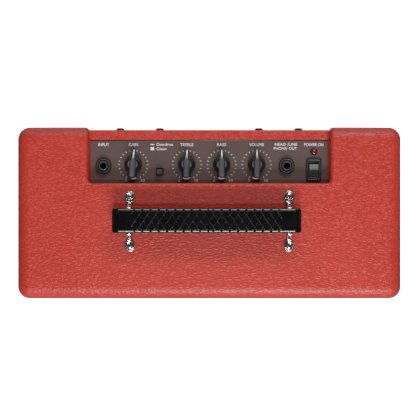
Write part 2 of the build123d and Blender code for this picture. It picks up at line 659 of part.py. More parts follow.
def make_bracket():
    """A plated steel bridge: a round tab at each end, a sloping neck and a level bar between."""
    t = BAR_THICK
    rise = BAR_Z - TOP_Z
    foot_y, crest_y = TAB_OFFSET_Y - 4.0, STRAP_WIDTH / 2 + 1.6
    low = [(-foot_y, 0), (-crest_y, rise), (crest_y, rise), (foot_y, 0)]
    high = [(foot_y + 1.2, t), (crest_y + 0.9, rise + t), (-crest_y - 0.9, rise + t), (-foot_y - 1.2, t)]
    ends = [(-foot_y - 1.2, 0)], [(foot_y + 1.2, 0)]
    profile = make_face(Polyline(*ends[0], *low, *ends[1], *high, close=True))
    bridge = extrude(Plane.YZ * profile, BAR_WIDTH / 2, both=True)
    crest = [e for e in bridge.edges() if abs(e.center().Y) < 0.1 and e.center().Z > rise - 0.1]
    bridge = fillet([e for e in crest if abs(e.center().X) > 1.0], BAR_THICK * 0.42)
    for side in (-1, 1):
        tab = Pos(0, side * TAB_OFFSET_Y, t / 2) * Cylinder(TAB_RADIUS, t)
        rim = Pos(0, side * TAB_OFFSET_Y, t) * Torus(TAB_RADIUS - 1.0, 0.9)
        rim -= Pos(0, side * TAB_OFFSET_Y, t - 2) * Cylinder(TAB_RADIUS + 1, 4 - t)
        bridge += tab + rim
    return Pos(0, BRACKET_Y, TOP_Z) * bridge


def make_handle_screws():
    screw = pan_screw(2.9, 2.3, 1.7, 15.0)
    z = TOP_Z + BAR_THICK
    tab_ys = (BRACKET_Y - TAB_OFFSET_Y, BRACKET_Y + TAB_OFFSET_Y)
    return [Pos(x, y, z) * screw for x in (-BRACKET_X, BRACKET_X) for y in tab_ys]


def strap_piece(x0, x1):
    """A length of the strap with rounded long edges."""
    half = STRAP_WIDTH / 2
    piece = block(x0, x1, HANDLE_Y - half, HANDLE_Y + half, STRAP_BOTTOM_Z, STRAP_BOTTOM_Z + STRAP_THICK)
    return fillet(piece.edges().filter_by(Axis.X), 1.8)


def make_strap():
    """The strap in three lengths, hinged to each other along its underside, with a slot through
    each end for the bracket's bar."""
    end_left = STRAP_CENTRE_X - STRAP_LENGTH / 2
    end_right = STRAP_CENTRE_X + STRAP_LENGTH / 2
    grip = strap_piece(-STRAP_HINGE_X + HINGE_GAP, STRAP_HINGE_X - HINGE_GAP)
    left = strap_piece(end_left, -STRAP_HINGE_X - HINGE_GAP)
    right = strap_piece(STRAP_HINGE_X + HINGE_GAP, end_right)
    left = fillet(left.edges().filter_by(Axis.Z).sort_by(Axis.X)[:2], 1.2)
    right = fillet(right.edges().filter_by(Axis.Z).sort_by(Axis.X)[-2:], 1.2)
    slot_z0 = STRAP_BOTTOM_Z + STRAP_THICK / 2 - SLOT_HEIGHT / 2
    slot_z1 = slot_z0 + SLOT_HEIGHT
    left -= block(
        end_left + SLOT_END_WALL, end_left + SLOT_END_WALL + SLOT_LENGTH, -DEPTH, DEPTH, slot_z0, slot_z1
    )
    right -= block(
        end_right - SLOT_END_WALL - SLOT_LENGTH, end_right - SLOT_END_WALL, -DEPTH, DEPTH, slot_z0, slot_z1
    )
    return grip, left, right


# ------------------------------------------------------------------ assembly
def build():
    covering, top, bottom, left, right = make_cabinet()
    battens = make_battens()
    back_screws = make_back_screws()
    back_board, back_cover = make_back_panel(back_screws)
    baffle, cloth, piping = make_front()
    feet, foot_screws = make_feet()
    chassis_screws = make_chassis_screws()
    core, coil, strap, trafo_screws = make_transformer()
    speaker_screws = make_speaker_screws()
    handle_screws = make_handle_screws()
    lid_fasteners = handle_screws + chassis_screws

    PARTS["vinyl_covering"] = cut(covering, lid_fasteners + foot_screws)
    PARTS["top_board"] = cut(top, lid_fasteners)
    PARTS["bottom_board"] = cut(bottom, foot_screws + trafo_screws)
    PARTS["left_side_board"] = left
    PARTS["right_side_board"] = right
    PARTS["back_battens"] = together([cut(b, back_screws) for b in battens])
    PARTS["back_panel"] = back_board
    PARTS["back_panel_covering"] = back_cover
    PARTS["back_panel_screws"] = together(back_screws)
    PARTS["mains_gland"] = make_gland()
    PARTS["front_baffle"] = cut(baffle, speaker_screws)
    PARTS["grille_cloth"] = cloth
    PARTS["grille_piping"] = piping
    PARTS["rubber_feet"] = together(feet)
    PARTS["foot_screws"] = together(foot_screws)

    PARTS["chassis_tray"] = cut(make_tray(), chassis_screws + back_screws[:4])
    PARTS["control_panel"] = cut(make_panel(), chassis_screws)
    PARTS["chassis_and_transformer_screws"] = together(chassis_screws + trafo_screws)
    PARTS["transformer_core"] = core
    PARTS["transformer_windings"] = coil
    PARTS["transformer_frame"] = cut(strap, trafo_screws)

    shaft = make_shaft()
    knob = make_knob(shaft)
    places = {name: at_panel(x, KNOB_Y) for name, x in KNOBS.items()}
    PARTS["pot_bodies"] = together([place * make_pot() for place in places.values()])
    PARTS["pot_nuts"] = together([place * s for place in places.values() for s in make_pot_nut()])
    for name, place in places.items():
        turned = place * Rot(0, 0, REST_TURNS[name])
        PARTS[name + "_knob"] = turned * knob
        PARTS[name + "_shaft"] = turned * shaft
    jack_places = [at_panel(INPUT_X, JACK_Y), at_panel(PHONES_X, JACK_Y)]
    PARTS["input_jack"] = jack_places[0] * make_jack()
    PARTS["phones_jack"] = jack_places[1] * make_jack()
    PARTS["jack_nuts"] = together([place * make_jack_nut() for place in jack_places])
    PARTS["channel_switch_body"] = at_panel(BUTTON_X, BUTTON_Y) * make_push_switch()
    PARTS["channel_button"] = at_panel(BUTTON_X, BUTTON_Y) * make_button()
    PARTS["power_switch_housing"] = at_panel(POWER_X, POWER_Y) * make_switch_housing()
    PARTS["power_rocker"] = at_panel(POWER_X, POWER_Y) * make_rocker()
    PARTS["power_led"] = at_panel(LED_X, LED_Y) * make_led()

    board_level = Pos(0, 0, PANEL_Z)
    PARTS["circuit_board"] = board_level * make_board()
    PARTS["filter_capacitors"] = together([board_level * c for c in make_capacitors()])
    PARTS["heat_sink"] = board_level * make_heat_sink()
    PARTS["amplifier_chip"] = board_level * make_chip()

    speaker = make_speaker()
    names = (
        "speaker_basket speaker_top_plate speaker_magnet speaker_back_plate speaker_voice_coil speaker_cone "
        "speaker_dust_cap speaker_surround speaker_spider"
    ).split()
    for name, solid in zip(names, speaker):
        PARTS[name] = solid
    PARTS["speaker_basket"] = cut(PARTS["speaker_basket"], speaker_screws)
    PARTS["speaker_screws"] = together(speaker_screws)
    PARTS["speaker_terminals"] = together(make_terminals())
    PARTS["speaker_leads"] = together(make_leads())

    bracket = make_bracket()
    brackets = [Pos(x, 0, 0) * bracket for x in (-BRACKET_X, BRACKET_X)]
    PARTS["handle_brackets"] = together([cut(b, handle_screws) for b in brackets])
    PARTS["handle_screws"] = together(handle_screws)
    PARTS["handle_grip"], PARTS["strap_left"], PARTS["strap_right"] = make_strap()


def main():
    build()
    os.makedirs("parts", exist_ok=True)
    for name, shape in PARTS.items():
        export_step(shape, f"parts/{name}.step")
    print(len(PARTS), "nodes")


main()
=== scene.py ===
import bpy
import json
from math import ceil, cos, floor, hypot, pi, radians, sin, sqrt
from mathutils import Matrix, Vector


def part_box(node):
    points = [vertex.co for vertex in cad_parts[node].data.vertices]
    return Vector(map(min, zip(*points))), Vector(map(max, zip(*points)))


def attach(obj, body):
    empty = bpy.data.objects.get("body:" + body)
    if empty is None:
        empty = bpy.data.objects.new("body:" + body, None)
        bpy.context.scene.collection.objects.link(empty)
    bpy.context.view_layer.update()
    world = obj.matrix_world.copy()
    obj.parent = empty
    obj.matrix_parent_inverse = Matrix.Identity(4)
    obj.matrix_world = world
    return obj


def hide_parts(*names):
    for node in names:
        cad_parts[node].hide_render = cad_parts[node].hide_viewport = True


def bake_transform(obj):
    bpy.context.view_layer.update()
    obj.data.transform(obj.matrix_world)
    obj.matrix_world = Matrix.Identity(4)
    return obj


# The visual model of a small red guitar amplifier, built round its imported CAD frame. Metres, with
# X to the right, Y to the back and Z up. The camera looks straight down on the top.

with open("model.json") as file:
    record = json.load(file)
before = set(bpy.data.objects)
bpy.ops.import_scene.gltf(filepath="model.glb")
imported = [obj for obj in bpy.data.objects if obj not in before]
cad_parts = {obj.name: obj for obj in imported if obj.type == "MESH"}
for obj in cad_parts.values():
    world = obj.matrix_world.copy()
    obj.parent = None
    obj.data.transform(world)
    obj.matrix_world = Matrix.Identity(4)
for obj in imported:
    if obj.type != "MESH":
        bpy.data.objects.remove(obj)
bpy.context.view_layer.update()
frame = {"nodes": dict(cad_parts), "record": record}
MM = 0.001

# ---- measures read from the frame ----
PANEL_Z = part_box("control_panel")[1].z
TOP_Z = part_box("vinyl_covering")[1].z
KNOB_NAMES = ("gain", "treble", "bass", "volume")
RECESS_HALF_WIDTH = 119.8 * MM
RECESS_FRONT_Y = 29.6 * MM


def middle(node):
    """The centre of a CAD node's box."""
    low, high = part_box(node)
    return (low + high) / 2


# ------------------------------------------------------------------ material helpers
class Material:
    """A principled material with short calls that add texture nodes to it."""

    def __init__(self, name, color, roughness, **values):
        self.material = bpy.data.materials.new(name)
        self.material.use_nodes = True
        self.tree = self.material.node_tree
        self.shader = self.tree.nodes["Principled BSDF"]
        self.place = self.tree.nodes.new("ShaderNodeTexCoord").outputs["Object"]
        self.set("Base Color", (*color, 1.0))
        self.set("Roughness", roughness)
        for key, value in values.items():
            self.set(key.replace("_", " "), value)

    def set(self, socket, value):
        self.shader.inputs[socket].default_value = value

    def add(self, kind, settings=None, inputs=None):
        """A new node with its settings and its inputs, each a constant or another node's output."""
        node = self.tree.nodes.new("ShaderNode" + kind)
        for key, value in (settings or {}).items():
            setattr(node, key, value)
        for key, value in (inputs or {}).items():
            if isinstance(value, bpy.types.NodeSocket):
                self.tree.links.new(value, node.inputs[key])
            else:
                node.inputs[key].default_value = value
        return node

    def stretched(self, scale):
        """Object coordinates times a scale along each axis."""
        return self.add("Mapping", inputs={"Vector": self.place, "Scale": scale}).outputs["Vector"]

    def noise(self, vector, scale, detail=4.0, roughness=0.55):
        inputs = {"Vector": vector, "Scale": scale, "Detail": detail, "Roughness": roughness}
        return self.add("TexNoise", inputs=inputs).outputs["Fac"]

    def warped(self, vector, scale, amount):
        """Vector pushed about by a noise of that scale."""
        noise = self.add("TexNoise", inputs={"Vector": vector, "Scale": scale, "Detail": 2.0})
        inputs = {0: noise.outputs["Color"], 1: (amount,) * 3, 2: (-amount / 2,) * 3}
        offset = self.add("VectorMath", {"operation": "MULTIPLY_ADD"}, inputs).outputs["Vector"]
        return self.add("VectorMath", {"operation": "ADD"}, {0: vector, 1: offset}).outputs["Vector"]

    def cells(self, vector, scale):
        """Distance to the edges of a cell pattern."""
        settings = {"feature": "DISTANCE_TO_EDGE", "voronoi_dimensions": "3D"}
        return self.add("TexVoronoi", settings, {"Vector": vector, "Scale": scale}).outputs["Distance"]

    def math(self, operation, a, b=0.0, c=0.0):
        return self.add("Math", {"operation": operation}, {0: a, 1: b, 2: c}).outputs[0]

    def span(self, value, low, high, to_low=0.0, to_high=1.0):
        """Value mapped from low..high to to_low..to_high, smoothly and clamped."""
        settings = {"interpolation_type": "SMOOTHSTEP"}
        inputs = {"Value": value, "From Min": low, "From Max": high, "To Min": to_low, "To Max": to_high}
        return self.add("MapRange", settings, inputs).outputs["Result"]

    def mix(self, factor, a, b):
        """A colour between a and b."""
        node = self.add("Mix", {"data_type": "RGBA"})
        for index, value in ((0, factor), (6, a), (7, b)):
            if isinstance(value, bpy.types.NodeSocket):
                self.tree.links.new(value, node.inputs[index])
            elif index == 0:
                node.inputs[index].default_value = value
            else:
                node.inputs[index].default_value = (*value, 1.0)
        return node.outputs[2]

    def color(self, output):
        self.tree.links.new(output, self.shader.inputs["Base Color"])

    def rough(self, output):
        self.tree.links.new(output, self.shader.inputs["Roughness"])

    def bump(self, height, distance, strength=1.0):
        inputs = {"Height": height, "Distance": distance, "Strength": strength}
        normal = self.add("Bump", inputs=inputs).outputs["Normal"]
        self.tree.links.new(normal, self.shader.inputs["Normal"])


# ------------------------------------------------------------------ materials
VINYL_RED = (0.56, 0.044, 0.026)


def levant(m, place):
    """Height of a levant grain: long low pebbles between fine creases, over a gentle unevenness."""
    bent = m.warped(place, 0.5, 1.8)
    pebbles = m.span(m.cells(bent, 1.0), 0.0, 0.32)
    fine = m.span(m.cells(m.warped(place, 1.3, 0.8), 2.1), 0.0, 0.35)
    lift = m.noise(place, 0.45, 4.0, 0.65)
    return m.math("MULTIPLY_ADD", fine, 0.25, m.math("MULTIPLY_ADD", lift, 1.3, pebbles))


def red_vinyl():
    """Grained vinyl with a satin sheen and painted shade in the creases of its grain. The sheet wraps over
    the box, so its grain runs across the top and front and down the two ends."""
    m = Material("red_vinyl", VINYL_RED, 0.38)
    across = levant(m, m.stretched((170.0, 410.0, 410.0)))
    down = levant(m, m.stretched((410.0, 410.0, 170.0)))
    facing = m.add("SeparateXYZ", inputs={0: m.add("NewGeometry").outputs["Normal"]}).outputs["X"]
    at_end = m.span(m.math("ABSOLUTE", facing), 0.6, 0.8)
    height = m.math("MULTIPLY_ADD", at_end, m.math("SUBTRACT", down, across), across)
    # Painted shade: the grain's low creases get a darker red, and its crowns keep the plain red.
    crease_shade = m.span(height, 0.6, 1.7)
    tone = m.span(m.noise(m.place, 16.0, 4.0), 0.3, 0.7)
    base = m.mix(crease_shade, (0.45, 0.03, 0.017), VINYL_RED)
    m.color(m.mix(m.math("MULTIPLY", tone, 0.3), base, (0.6, 0.056, 0.036)))
    m.rough(m.span(m.noise(m.place, 420.0, 3.0), 0.25, 0.75, 0.33, 0.43))
    m.bump(height, 0.0002, 0.8)
    return m.material


def panel_paint():
    """Dark satin paint with a very fine orange-peel surface."""
    m = Material("panel_paint", (0.112, 0.072, 0.065), 0.42)
    grain = m.noise(m.place, 2600.0, 2.0)
    tone = m.span(m.noise(m.place, 30.0, 3.0), 0.3, 0.7)
    m.color(m.mix(tone, (0.103, 0.067, 0.06), (0.12, 0.077, 0.07)))
    m.rough(m.span(grain, 0.3, 0.7, 0.38, 0.5))
    m.bump(grain, 0.00002, 0.4)
    return m.material


def plastic(name, color, roughness, grain=900.0, depth=0.00002, spread=0.08, **values):
    """A moulded plastic with a fine spark-eroded grain and slight tone changes."""
    m = Material(name, color, roughness, **values)
    texture = m.noise(m.place, grain, 3.0)
    mottled = m.noise(m.place, 60.0, 4.0)
    low = tuple(c * 0.85 for c in color)
    high = tuple(min(1.0, c * 1.2 + 0.002) for c in color)
    m.color(m.mix(m.span(mottled, 0.3, 0.7), low, high))
    m.rough(m.span(texture, 0.3, 0.7, roughness - spread / 2, roughness + spread / 2))
    m.bump(texture, depth, 0.5)
    return m.material


def metal(name, color, roughness, stretch=(1.0, 1.0, 1.0), grain=700.0, depth=0.000008):
    """A metal with fine machining or polishing marks."""
    m = Material(name, color, roughness, Metallic=1.0)
    texture = m.noise(m.stretched(stretch), grain, 3.0)
    haze = m.noise(m.place, 90.0, 4.0)
    dull = tuple(c * 0.86 for c in color)
    m.color(m.mix(m.span(haze, 0.3, 0.7), dull, color))
    m.rough(m.span(texture, 0.25, 0.75, roughness * 0.75, roughness * 1.35))
    m.bump(texture, depth, 0.4)
    return m.material


def rubber(name, color, roughness):
    """A dull, speckled surface with a little dust: rubber, ferrite or paper."""
    m = Material(name, color, roughness)
    speck = m.noise(m.place, 1500.0, 4.0)
    dust = m.noise(m.place, 140.0, 5.0)
    m.color(m.mix(m.span(dust, 0.45, 0.8), color, tuple(c * 1.7 + 0.01 for c in color)))
    m.rough(m.span(speck, 0.3, 0.7, roughness - 0.06, roughness + 0.08))
    m.bump(speck, 0.00004, 0.6)
    return m.material


def plywood():
    """Pale plywood with its face grain and the bands of its layers."""
    m = Material("plywood", (0.6, 0.42, 0.25), 0.65)
    grain = m.noise(m.stretched((12.0, 90.0, 90.0)), 6.0, 6.0)
    settings = {"wave_type": "BANDS", "bands_direction": "Z"}
    layers = m.add("TexWave", settings, {"Vector": m.place, "Scale": 120.0})
    tone = m.mix(m.span(grain, 0.3, 0.7), (0.5, 0.33, 0.18), (0.68, 0.5, 0.31))
    m.color(m.mix(m.math("MULTIPLY", layers.outputs["Fac"], 0.25), tone, (0.3, 0.18, 0.09)))
    m.bump(grain, 0.0001, 0.5)
    return m.material


def woven(name, dark, light, pitch, roughness=0.8):
    """A plain weave in the front plane: warp and weft pass over each other at every pitch."""
    m = Material(name, dark, roughness)
    steps = m.add("SeparateXYZ", inputs={0: m.stretched((pi / pitch,) * 3)}).outputs
    across = m.math("SINE", steps["X"])
    along = m.math("SINE", steps["Z"])
    over = m.math("ABSOLUTE", across)
    under = m.math("ABSOLUTE", along)
    check = m.span(m.math("MULTIPLY", across, along), -0.12, 0.12)
    warp = m.math("MULTIPLY", over, check)
    weft = m.math("MULTIPLY", under, m.math("SUBTRACT", 1.0, check))
    height = m.math("ADD", warp, weft)
    fibre = m.noise(m.place, 1500.0, 4.0)
    slub = m.span(m.noise(m.stretched((60.0, 1.0, 600.0)), 1.0, 3.0), 0.35, 0.65)
    base = m.mix(m.span(height, 0.25, 0.9), tuple(c * 0.35 for c in dark), light)
    base = m.mix(m.math("MULTIPLY", slub, 0.35), base, dark)
    m.color(m.mix(m.math("MULTIPLY", fibre, 0.3), base, light))
    m.bump(m.math("MULTIPLY_ADD", fibre, 0.2, height), 0.00045, 0.9)
    m.set("Sheen Weight", 0.25)
    m.set("Sheen Roughness", 0.5)
    return m.material


def lamp_lens():
    """A clear red lens that is not lit."""
    m = Material("lamp_lens", (0.42, 0.012, 0.012), 0.08, Transmission_Weight=0.35, IOR=1.49, Coat_Weight=0.6)
    depth = m.noise(m.place, 260.0, 2.0)
    m.color(m.mix(m.span(depth, 0.3, 0.7), (0.3, 0.006, 0.006), (0.5, 0.018, 0.016)))
    m.rough(m.span(m.noise(m.place, 1200.0, 2.0), 0.3, 0.7, 0.05, 0.12))
    return m.material


def print_white():
    """Pale screen-print, slightly uneven in density."""
    m = Material("print_white", (0.82, 0.79, 0.76), 0.5)
    density = m.noise(m.place, 1800.0, 3.0)
    m.color(m.mix(m.span(density, 0.3, 0.6), (0.58, 0.56, 0.54), (0.86, 0.84, 0.81)))
    m.rough(m.span(density, 0.3, 0.7, 0.42, 0.6))
    return m.material


def pointer_white():
    """White filling of the pointer line, with painted shade: dark grey where the nose meets the knob's round
    body, where the body's shadow falls, and white towards the tip.
    """
    m = Material("pointer_white", (0.86, 0.86, 0.85), 0.4)
    knob_y = middle("gain_shaft").y
    along = m.add("SeparateXYZ", inputs={0: m.place}).outputs["Y"]
    mottled = m.math("MULTIPLY_ADD", m.noise(m.place, 900.0, 3.0), 0.0012, along)
    # Painted shade: the line is dark grey near the round body and white from about 12.5 mm out, with a ragged
    # edge between.
    out_of_painted_shade = m.span(mottled, knob_y + 0.0052, knob_y + 0.0125)
    m.color(m.mix(out_of_painted_shade, (0.13, 0.13, 0.135), (0.9, 0.9, 0.89)))
    return m.material


MATERIALS = {
    "red_vinyl": red_vinyl(),
    "panel_paint": panel_paint(),
    "plywood": plywood(),
    "black_screw": metal("black_screw", (0.045, 0.045, 0.047), 0.32),
    "plain_screw": metal("plain_screw", (0.62, 0.61, 0.58), 0.3),
    "handle_chrome": metal("handle_chrome", (0.66, 0.63, 0.59), 0.15, grain=300.0, depth=0.000015),
    "soft_rubber": rubber("soft_rubber", (0.014, 0.014, 0.014), 0.62),
    "grille_cloth": woven("grille_cloth", (0.02, 0.018, 0.017), (0.075, 0.068, 0.062), 0.0022),
    "piping_vinyl": plastic("piping_vinyl", (0.72, 0.66, 0.54), 0.38, grain=500.0, depth=0.00004),
    "plated_steel": metal("plated_steel", (0.6, 0.6, 0.58), 0.35, stretch=(1.0, 0.15, 1.0)),
    "core_steel": metal("core_steel", (0.26, 0.26, 0.27), 0.42),
    "winding_tape": plastic("winding_tape", (0.55, 0.34, 0.07), 0.35),
    "jack_plastic": plastic("jack_plastic", (0.026, 0.026, 0.027), 0.22, depth=0.000008),
    "switch_plastic": plastic("switch_plastic", (0.014, 0.0135, 0.0135), 0.28),
    "button_plastic": plastic("button_plastic", (0.04, 0.034, 0.032), 0.45),
    "rocker_plastic": plastic("rocker_plastic", (0.022, 0.022, 0.023), 0.42),
    "lamp_lens": lamp_lens(),
    "circuit_board": plastic("circuit_board", (0.03, 0.16, 0.05), 0.3),
    "capacitor_can": plastic("capacitor_can", (0.04, 0.05, 0.16), 0.25),
    "heat_sink_aluminium": metal("heat_sink_aluminium", (0.06, 0.06, 0.062), 0.4),
    "chip_plastic": plastic("chip_plastic", (0.02, 0.02, 0.02), 0.5),
    "basket_steel": plastic("basket_steel", (0.02, 0.02, 0.021), 0.3),
    "magnet_ferrite": rubber("magnet_ferrite", (0.045, 0.045, 0.05), 0.6),
    "voice_coil_wire": metal(
        "voice_coil_wire", (0.7, 0.32, 0.14), 0.3, stretch=(1.0, 30.0, 1.0), grain=150.0
    ),
    "cone_paper": rubber("cone_paper", (0.03, 0.03, 0.031), 0.85),
    "surround_cloth": woven("surround_cloth", (0.02, 0.02, 0.02), (0.05, 0.05, 0.05), 0.0012),
    "spider_cloth": woven("spider_cloth", (0.4, 0.28, 0.1), (0.62, 0.47, 0.2), 0.0012),
    "terminal_board": rubber("terminal_board", (0.24, 0.14, 0.06), 0.7),
    "lead_sleeve": rubber("lead_sleeve", (0.26, 0.015, 0.015), 0.45),
    "handle_plastic": plastic("handle_plastic", (0.0018, 0.0015, 0.0016), 0.16, grain=1200.0, depth=0.000005),
    "knob_plastic": plastic("knob_plastic", (0.008, 0.008, 0.0085), 0.22, grain=1400.0),
    "shaft_metal": metal("shaft_metal", (0.75, 0.74, 0.72), 0.25),
}
PRINT = print_white()
RIB_PLASTIC = plastic("handle_rib_plastic", (0.0045, 0.0041, 0.0043), 0.32, grain=1200.0)
# Painted light on the knobs: a pale grey for the up-facing tops and a middling grey for their chamfers, both
# lighter than the black knob plastic.
KNOB_TOP_PAINTED_HIGHLIGHT = plastic("knob_top_painted_highlight", (0.062, 0.062, 0.068), 0.5, grain=1800.0)
KNOB_CHAMFER_PAINTED_HALF_LIGHT = plastic("knob_chamfer_painted_half_light", (0.028, 0.028, 0.031), 0.45, grain=1800.0)
POINTER_WHITE = pointer_white()
EDGE_METAL = metal("panel_edge_metal", (0.2, 0.15, 0.16), 0.45)
# Painted highlight: paler than the black plastic around it, so the beads on the switch frame and the jacks
# read as lit, on top of their real gloss.
FRAME_RIM_PAINTED_HIGHLIGHT = plastic("switch_frame_rim_painted_highlight", (0.06, 0.058, 0.058), 0.3, depth=0.000008)


def dress_frame():
    """Gives every CAD node the material of its slot."""
    slots = {s["node"]: s["material_slot"] for s in frame["record"]["subparts"]}
    for name, node in frame["nodes"].items():
        node.data.materials.clear()
        node.data.materials.append(MATERIALS[slots[name]])


# ------------------------------------------------------------------ mesh helpers
def make_piece(name, points, faces, material, body, slot, smooth=True):
    """A mesh from points in metres in the row frame, riding on a body."""
    mesh = bpy.data.meshes.new(name)
    mesh.from_pydata([tuple(p) for p in points], [], faces)
    mesh.validate()
    mesh.update()
    piece = bpy.data.objects.new(name, mesh)
    bpy.context.scene.collection.objects.link(piece)
    mesh.materials.append(material)
    mesh.polygons.foreach_set("use_smooth", [smooth] * len(mesh.polygons))
    if body:
        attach(piece, body)
    return piece


def loft(rings, closed_ends=True):
    """Points and faces of a skin over rings of equal length, each a closed loop of points."""
    count = len(rings[0])
    points = [p for ring in rings for p in ring]
    faces = []
    for i in range(len(rings) - 1):
        for j in range(count):
            k = (j + 1) % count
            faces.append((i * count + j, i * count + k, (i + 1) * count + k, (i + 1) * count + j))
    if closed_ends:
        faces.append(tuple(reversed(range(count))))
        last = (len(rings) - 1) * count
        faces.append(tuple(range(last, last + count)))
    return points, faces


def merged(shells):
    """Several (points, faces) shells as one."""
    points, faces = [], []
    for shell_points, shell_faces in shells:
        start = len(points)
        points += list(shell_points)
        faces += [tuple(start + i for i in face) for face in shell_faces]
    return points, faces


def box_shell(x0, x1, y0, y1, z0, z1):
    """A plain box as a shell, for small printed marks."""
    points = [(x, y, z) for z in (z0, z1) for y in (y0, y1) for x in (x0, x1)]
    faces = [(0, 2, 3, 1), (4, 5, 7, 6), (0, 1, 5, 4), (2, 6, 7, 3), (0, 4, 6, 2), (1, 3, 7, 5)]
    return points, faces


def turned_shell(profile, centre, steps=48):
    """A closed shell turned about an upright axis from (radius, z) points, bottom to top."""
    rings = []
    for radius, z in profile:
        ring = []
        for i in range(steps):
            a = 2 * pi * i / steps
            ring.append((centre[0] + radius * cos(a), centre[1] + radius * sin(a), z))
        rings.append(ring)
    return loft(rings)


def moved(shell, matrix):
    points, faces = shell
    return [matrix @ Vector(p) for p in points], faces


def baked(piece):
    """Applies a piece's modifiers to its mesh."""
    view = bpy.context.evaluated_depsgraph_get()
    view.update()
    mesh = bpy.data.meshes.new_from_object(piece.evaluated_get(view))
    piece.modifiers.clear()
    piece.data = mesh
    return piece


def sharpen(piece, angle=40.0):
    """Shades smooth, but keeps edges sharper than the angle crisp."""
    piece.data.set_sharp_from_angle(angle=radians(angle))
    return piece


# ------------------------------------------------------------------ strap handle
STRAP_END_ROUND = 4.4 * MM
STRAP_STATION = 0.4 * MM
STRAP_CORNER = 1.5 * MM
PLAN_CORNER = 3.0 * MM
CREST = 0.75 * MM
FRONT_EDGE = (
    (0.0, -2.3), (0.06, -1.7), (0.25, -1.2), (0.6, -0.75), (1.0, -0.47), (1.9, -0.06), (2.1, 0.0), (2.3, 0.0),
    (2.6, -0.25), (2.95, -0.75),
)
BACK_EDGE = (
    (0.0, -2.6), (0.06, -2.0), (0.25, -1.5), (0.6, -1.1), (1.1, -0.7), (1.5, -0.47), (2.4, -0.05), (2.6, 0.0),
    (2.8, 0.0), (3.1, -0.25), (3.45, -0.75),
)
DASH_PERIOD = 8.0 * MM
DASH_GAP = 1.0 * MM
FIRST_DASH = 16.0 * MM
LATTICE_X = 8.0 * MM
LATTICE_Y = 12.0 * MM
LATTICE_RISE = 0.26 * MM
LATTICE_HALF = 0.45 * MM
LATTICE_START = 18.0 * MM
LATTICE_HALF_Y = 9.0 * MM
SLOT_LENGTH = 30.0 * MM
SLOT_HEIGHT = 4.6 * MM
SLOT_INSET = 3.3 * MM
SLOT_REACH = 0.05
SLOT_STEPS = 32
SLOT_SQUARENESS = 0.93


def smooth_step(t):
    """0 to 1 along an S curve, clamped at both ends."""
    t = max(0.0, min(1.0, t))
    return t * t * (3 - 2 * t)


def dash(from_end):
    """How fully the bead along the strap's edge stands at a distance from the strap's end."""
    run = from_end - STRAP_END_ROUND - 1.2 * MM
    if run < 0:
        return 0.0
    if run < FIRST_DASH:
        to_gap = min(run, FIRST_DASH - run)
    else:
        phase = (run - FIRST_DASH) % DASH_PERIOD
        to_gap = min(phase, DASH_PERIOD - phase) - DASH_GAP / 2
    return smooth_step(to_gap / (0.55 * MM))


def lattice(x, y):
    """Height of the crossed ribs on the strap's top, from 0 to 1."""
    reach = hypot(1 / LATTICE_X, 1 / LATTICE_Y)
    rise = 0.0
    for sign in (1, -1):
        turns = x / LATTICE_X + sign * y / LATTICE_Y
        gap = abs(turns - floor(turns + 0.5)) / reach
        rise = max(rise, 1.0 - smooth_step(gap / LATTICE_HALF))
    return rise


def edge_points(profile, half_width):
    """Distances from the strap's centre line of the points that shape one of its long edges."""
    steps = []
    for (near, _), (far, _) in zip(profile, profile[1:]):
        steps += [near, (near + far) / 2]
    return [half_width - step * MM for step in steps + [profile[-1][0]]]


def top_height(x, y, half_width, top, bead, ribs):
    """Height of the strap's top at y from its centre line: crossed ribs in the middle, and along
    each edge a bead with a flat outer slope, broken into dashes."""
    edge = FRONT_EDGE if y < 0 else BACK_EDGE
    from_side = (half_width - abs(y)) / MM
    field = -CREST
    if from_side < edge[-1][0]:
        full = between(edge, from_side) * MM
        broken = min(full, field)
        return top + CREST + broken + (full - broken) * bead
    fade = smooth_step((LATTICE_HALF_Y - abs(y)) / (0.6 * MM))
    return top + LATTICE_RISE * ribs * fade


def strap_section(x, half_width, low, top, bead, plain):
    """One closed section of the strap as (y, z) points: over the top, then round below."""
    front, back = edge_points(FRONT_EDGE, half_width), edge_points(BACK_EDGE, half_width)
    inner = [-front[-1] + (front[-1] + back[-1]) * i / 64 for i in range(1, 64)]
    across = [-y for y in front] + inner + back[::-1]
    loop = []
    for y in across:
        ribs = lattice(x, y) * plain
        loop.append((y, top_height(x, y, half_width, top, bead, ribs)))
    r = STRAP_CORNER
    under = []
    for i in range(1, 6):
        a = radians(90 * i / 5)
        under.append((half_width - r + r * cos(a), low + r - r * sin(a)))
    middle_under = [(half_width - r) * (1 - i / 4) for i in range(1, 8)]
    loop += [(half_width, low + r)] + under + [(y, low) for y in middle_under]
    loop += [(-y, z) for y, z in reversed(under)] + [(-half_width, low + r)]
    return loop


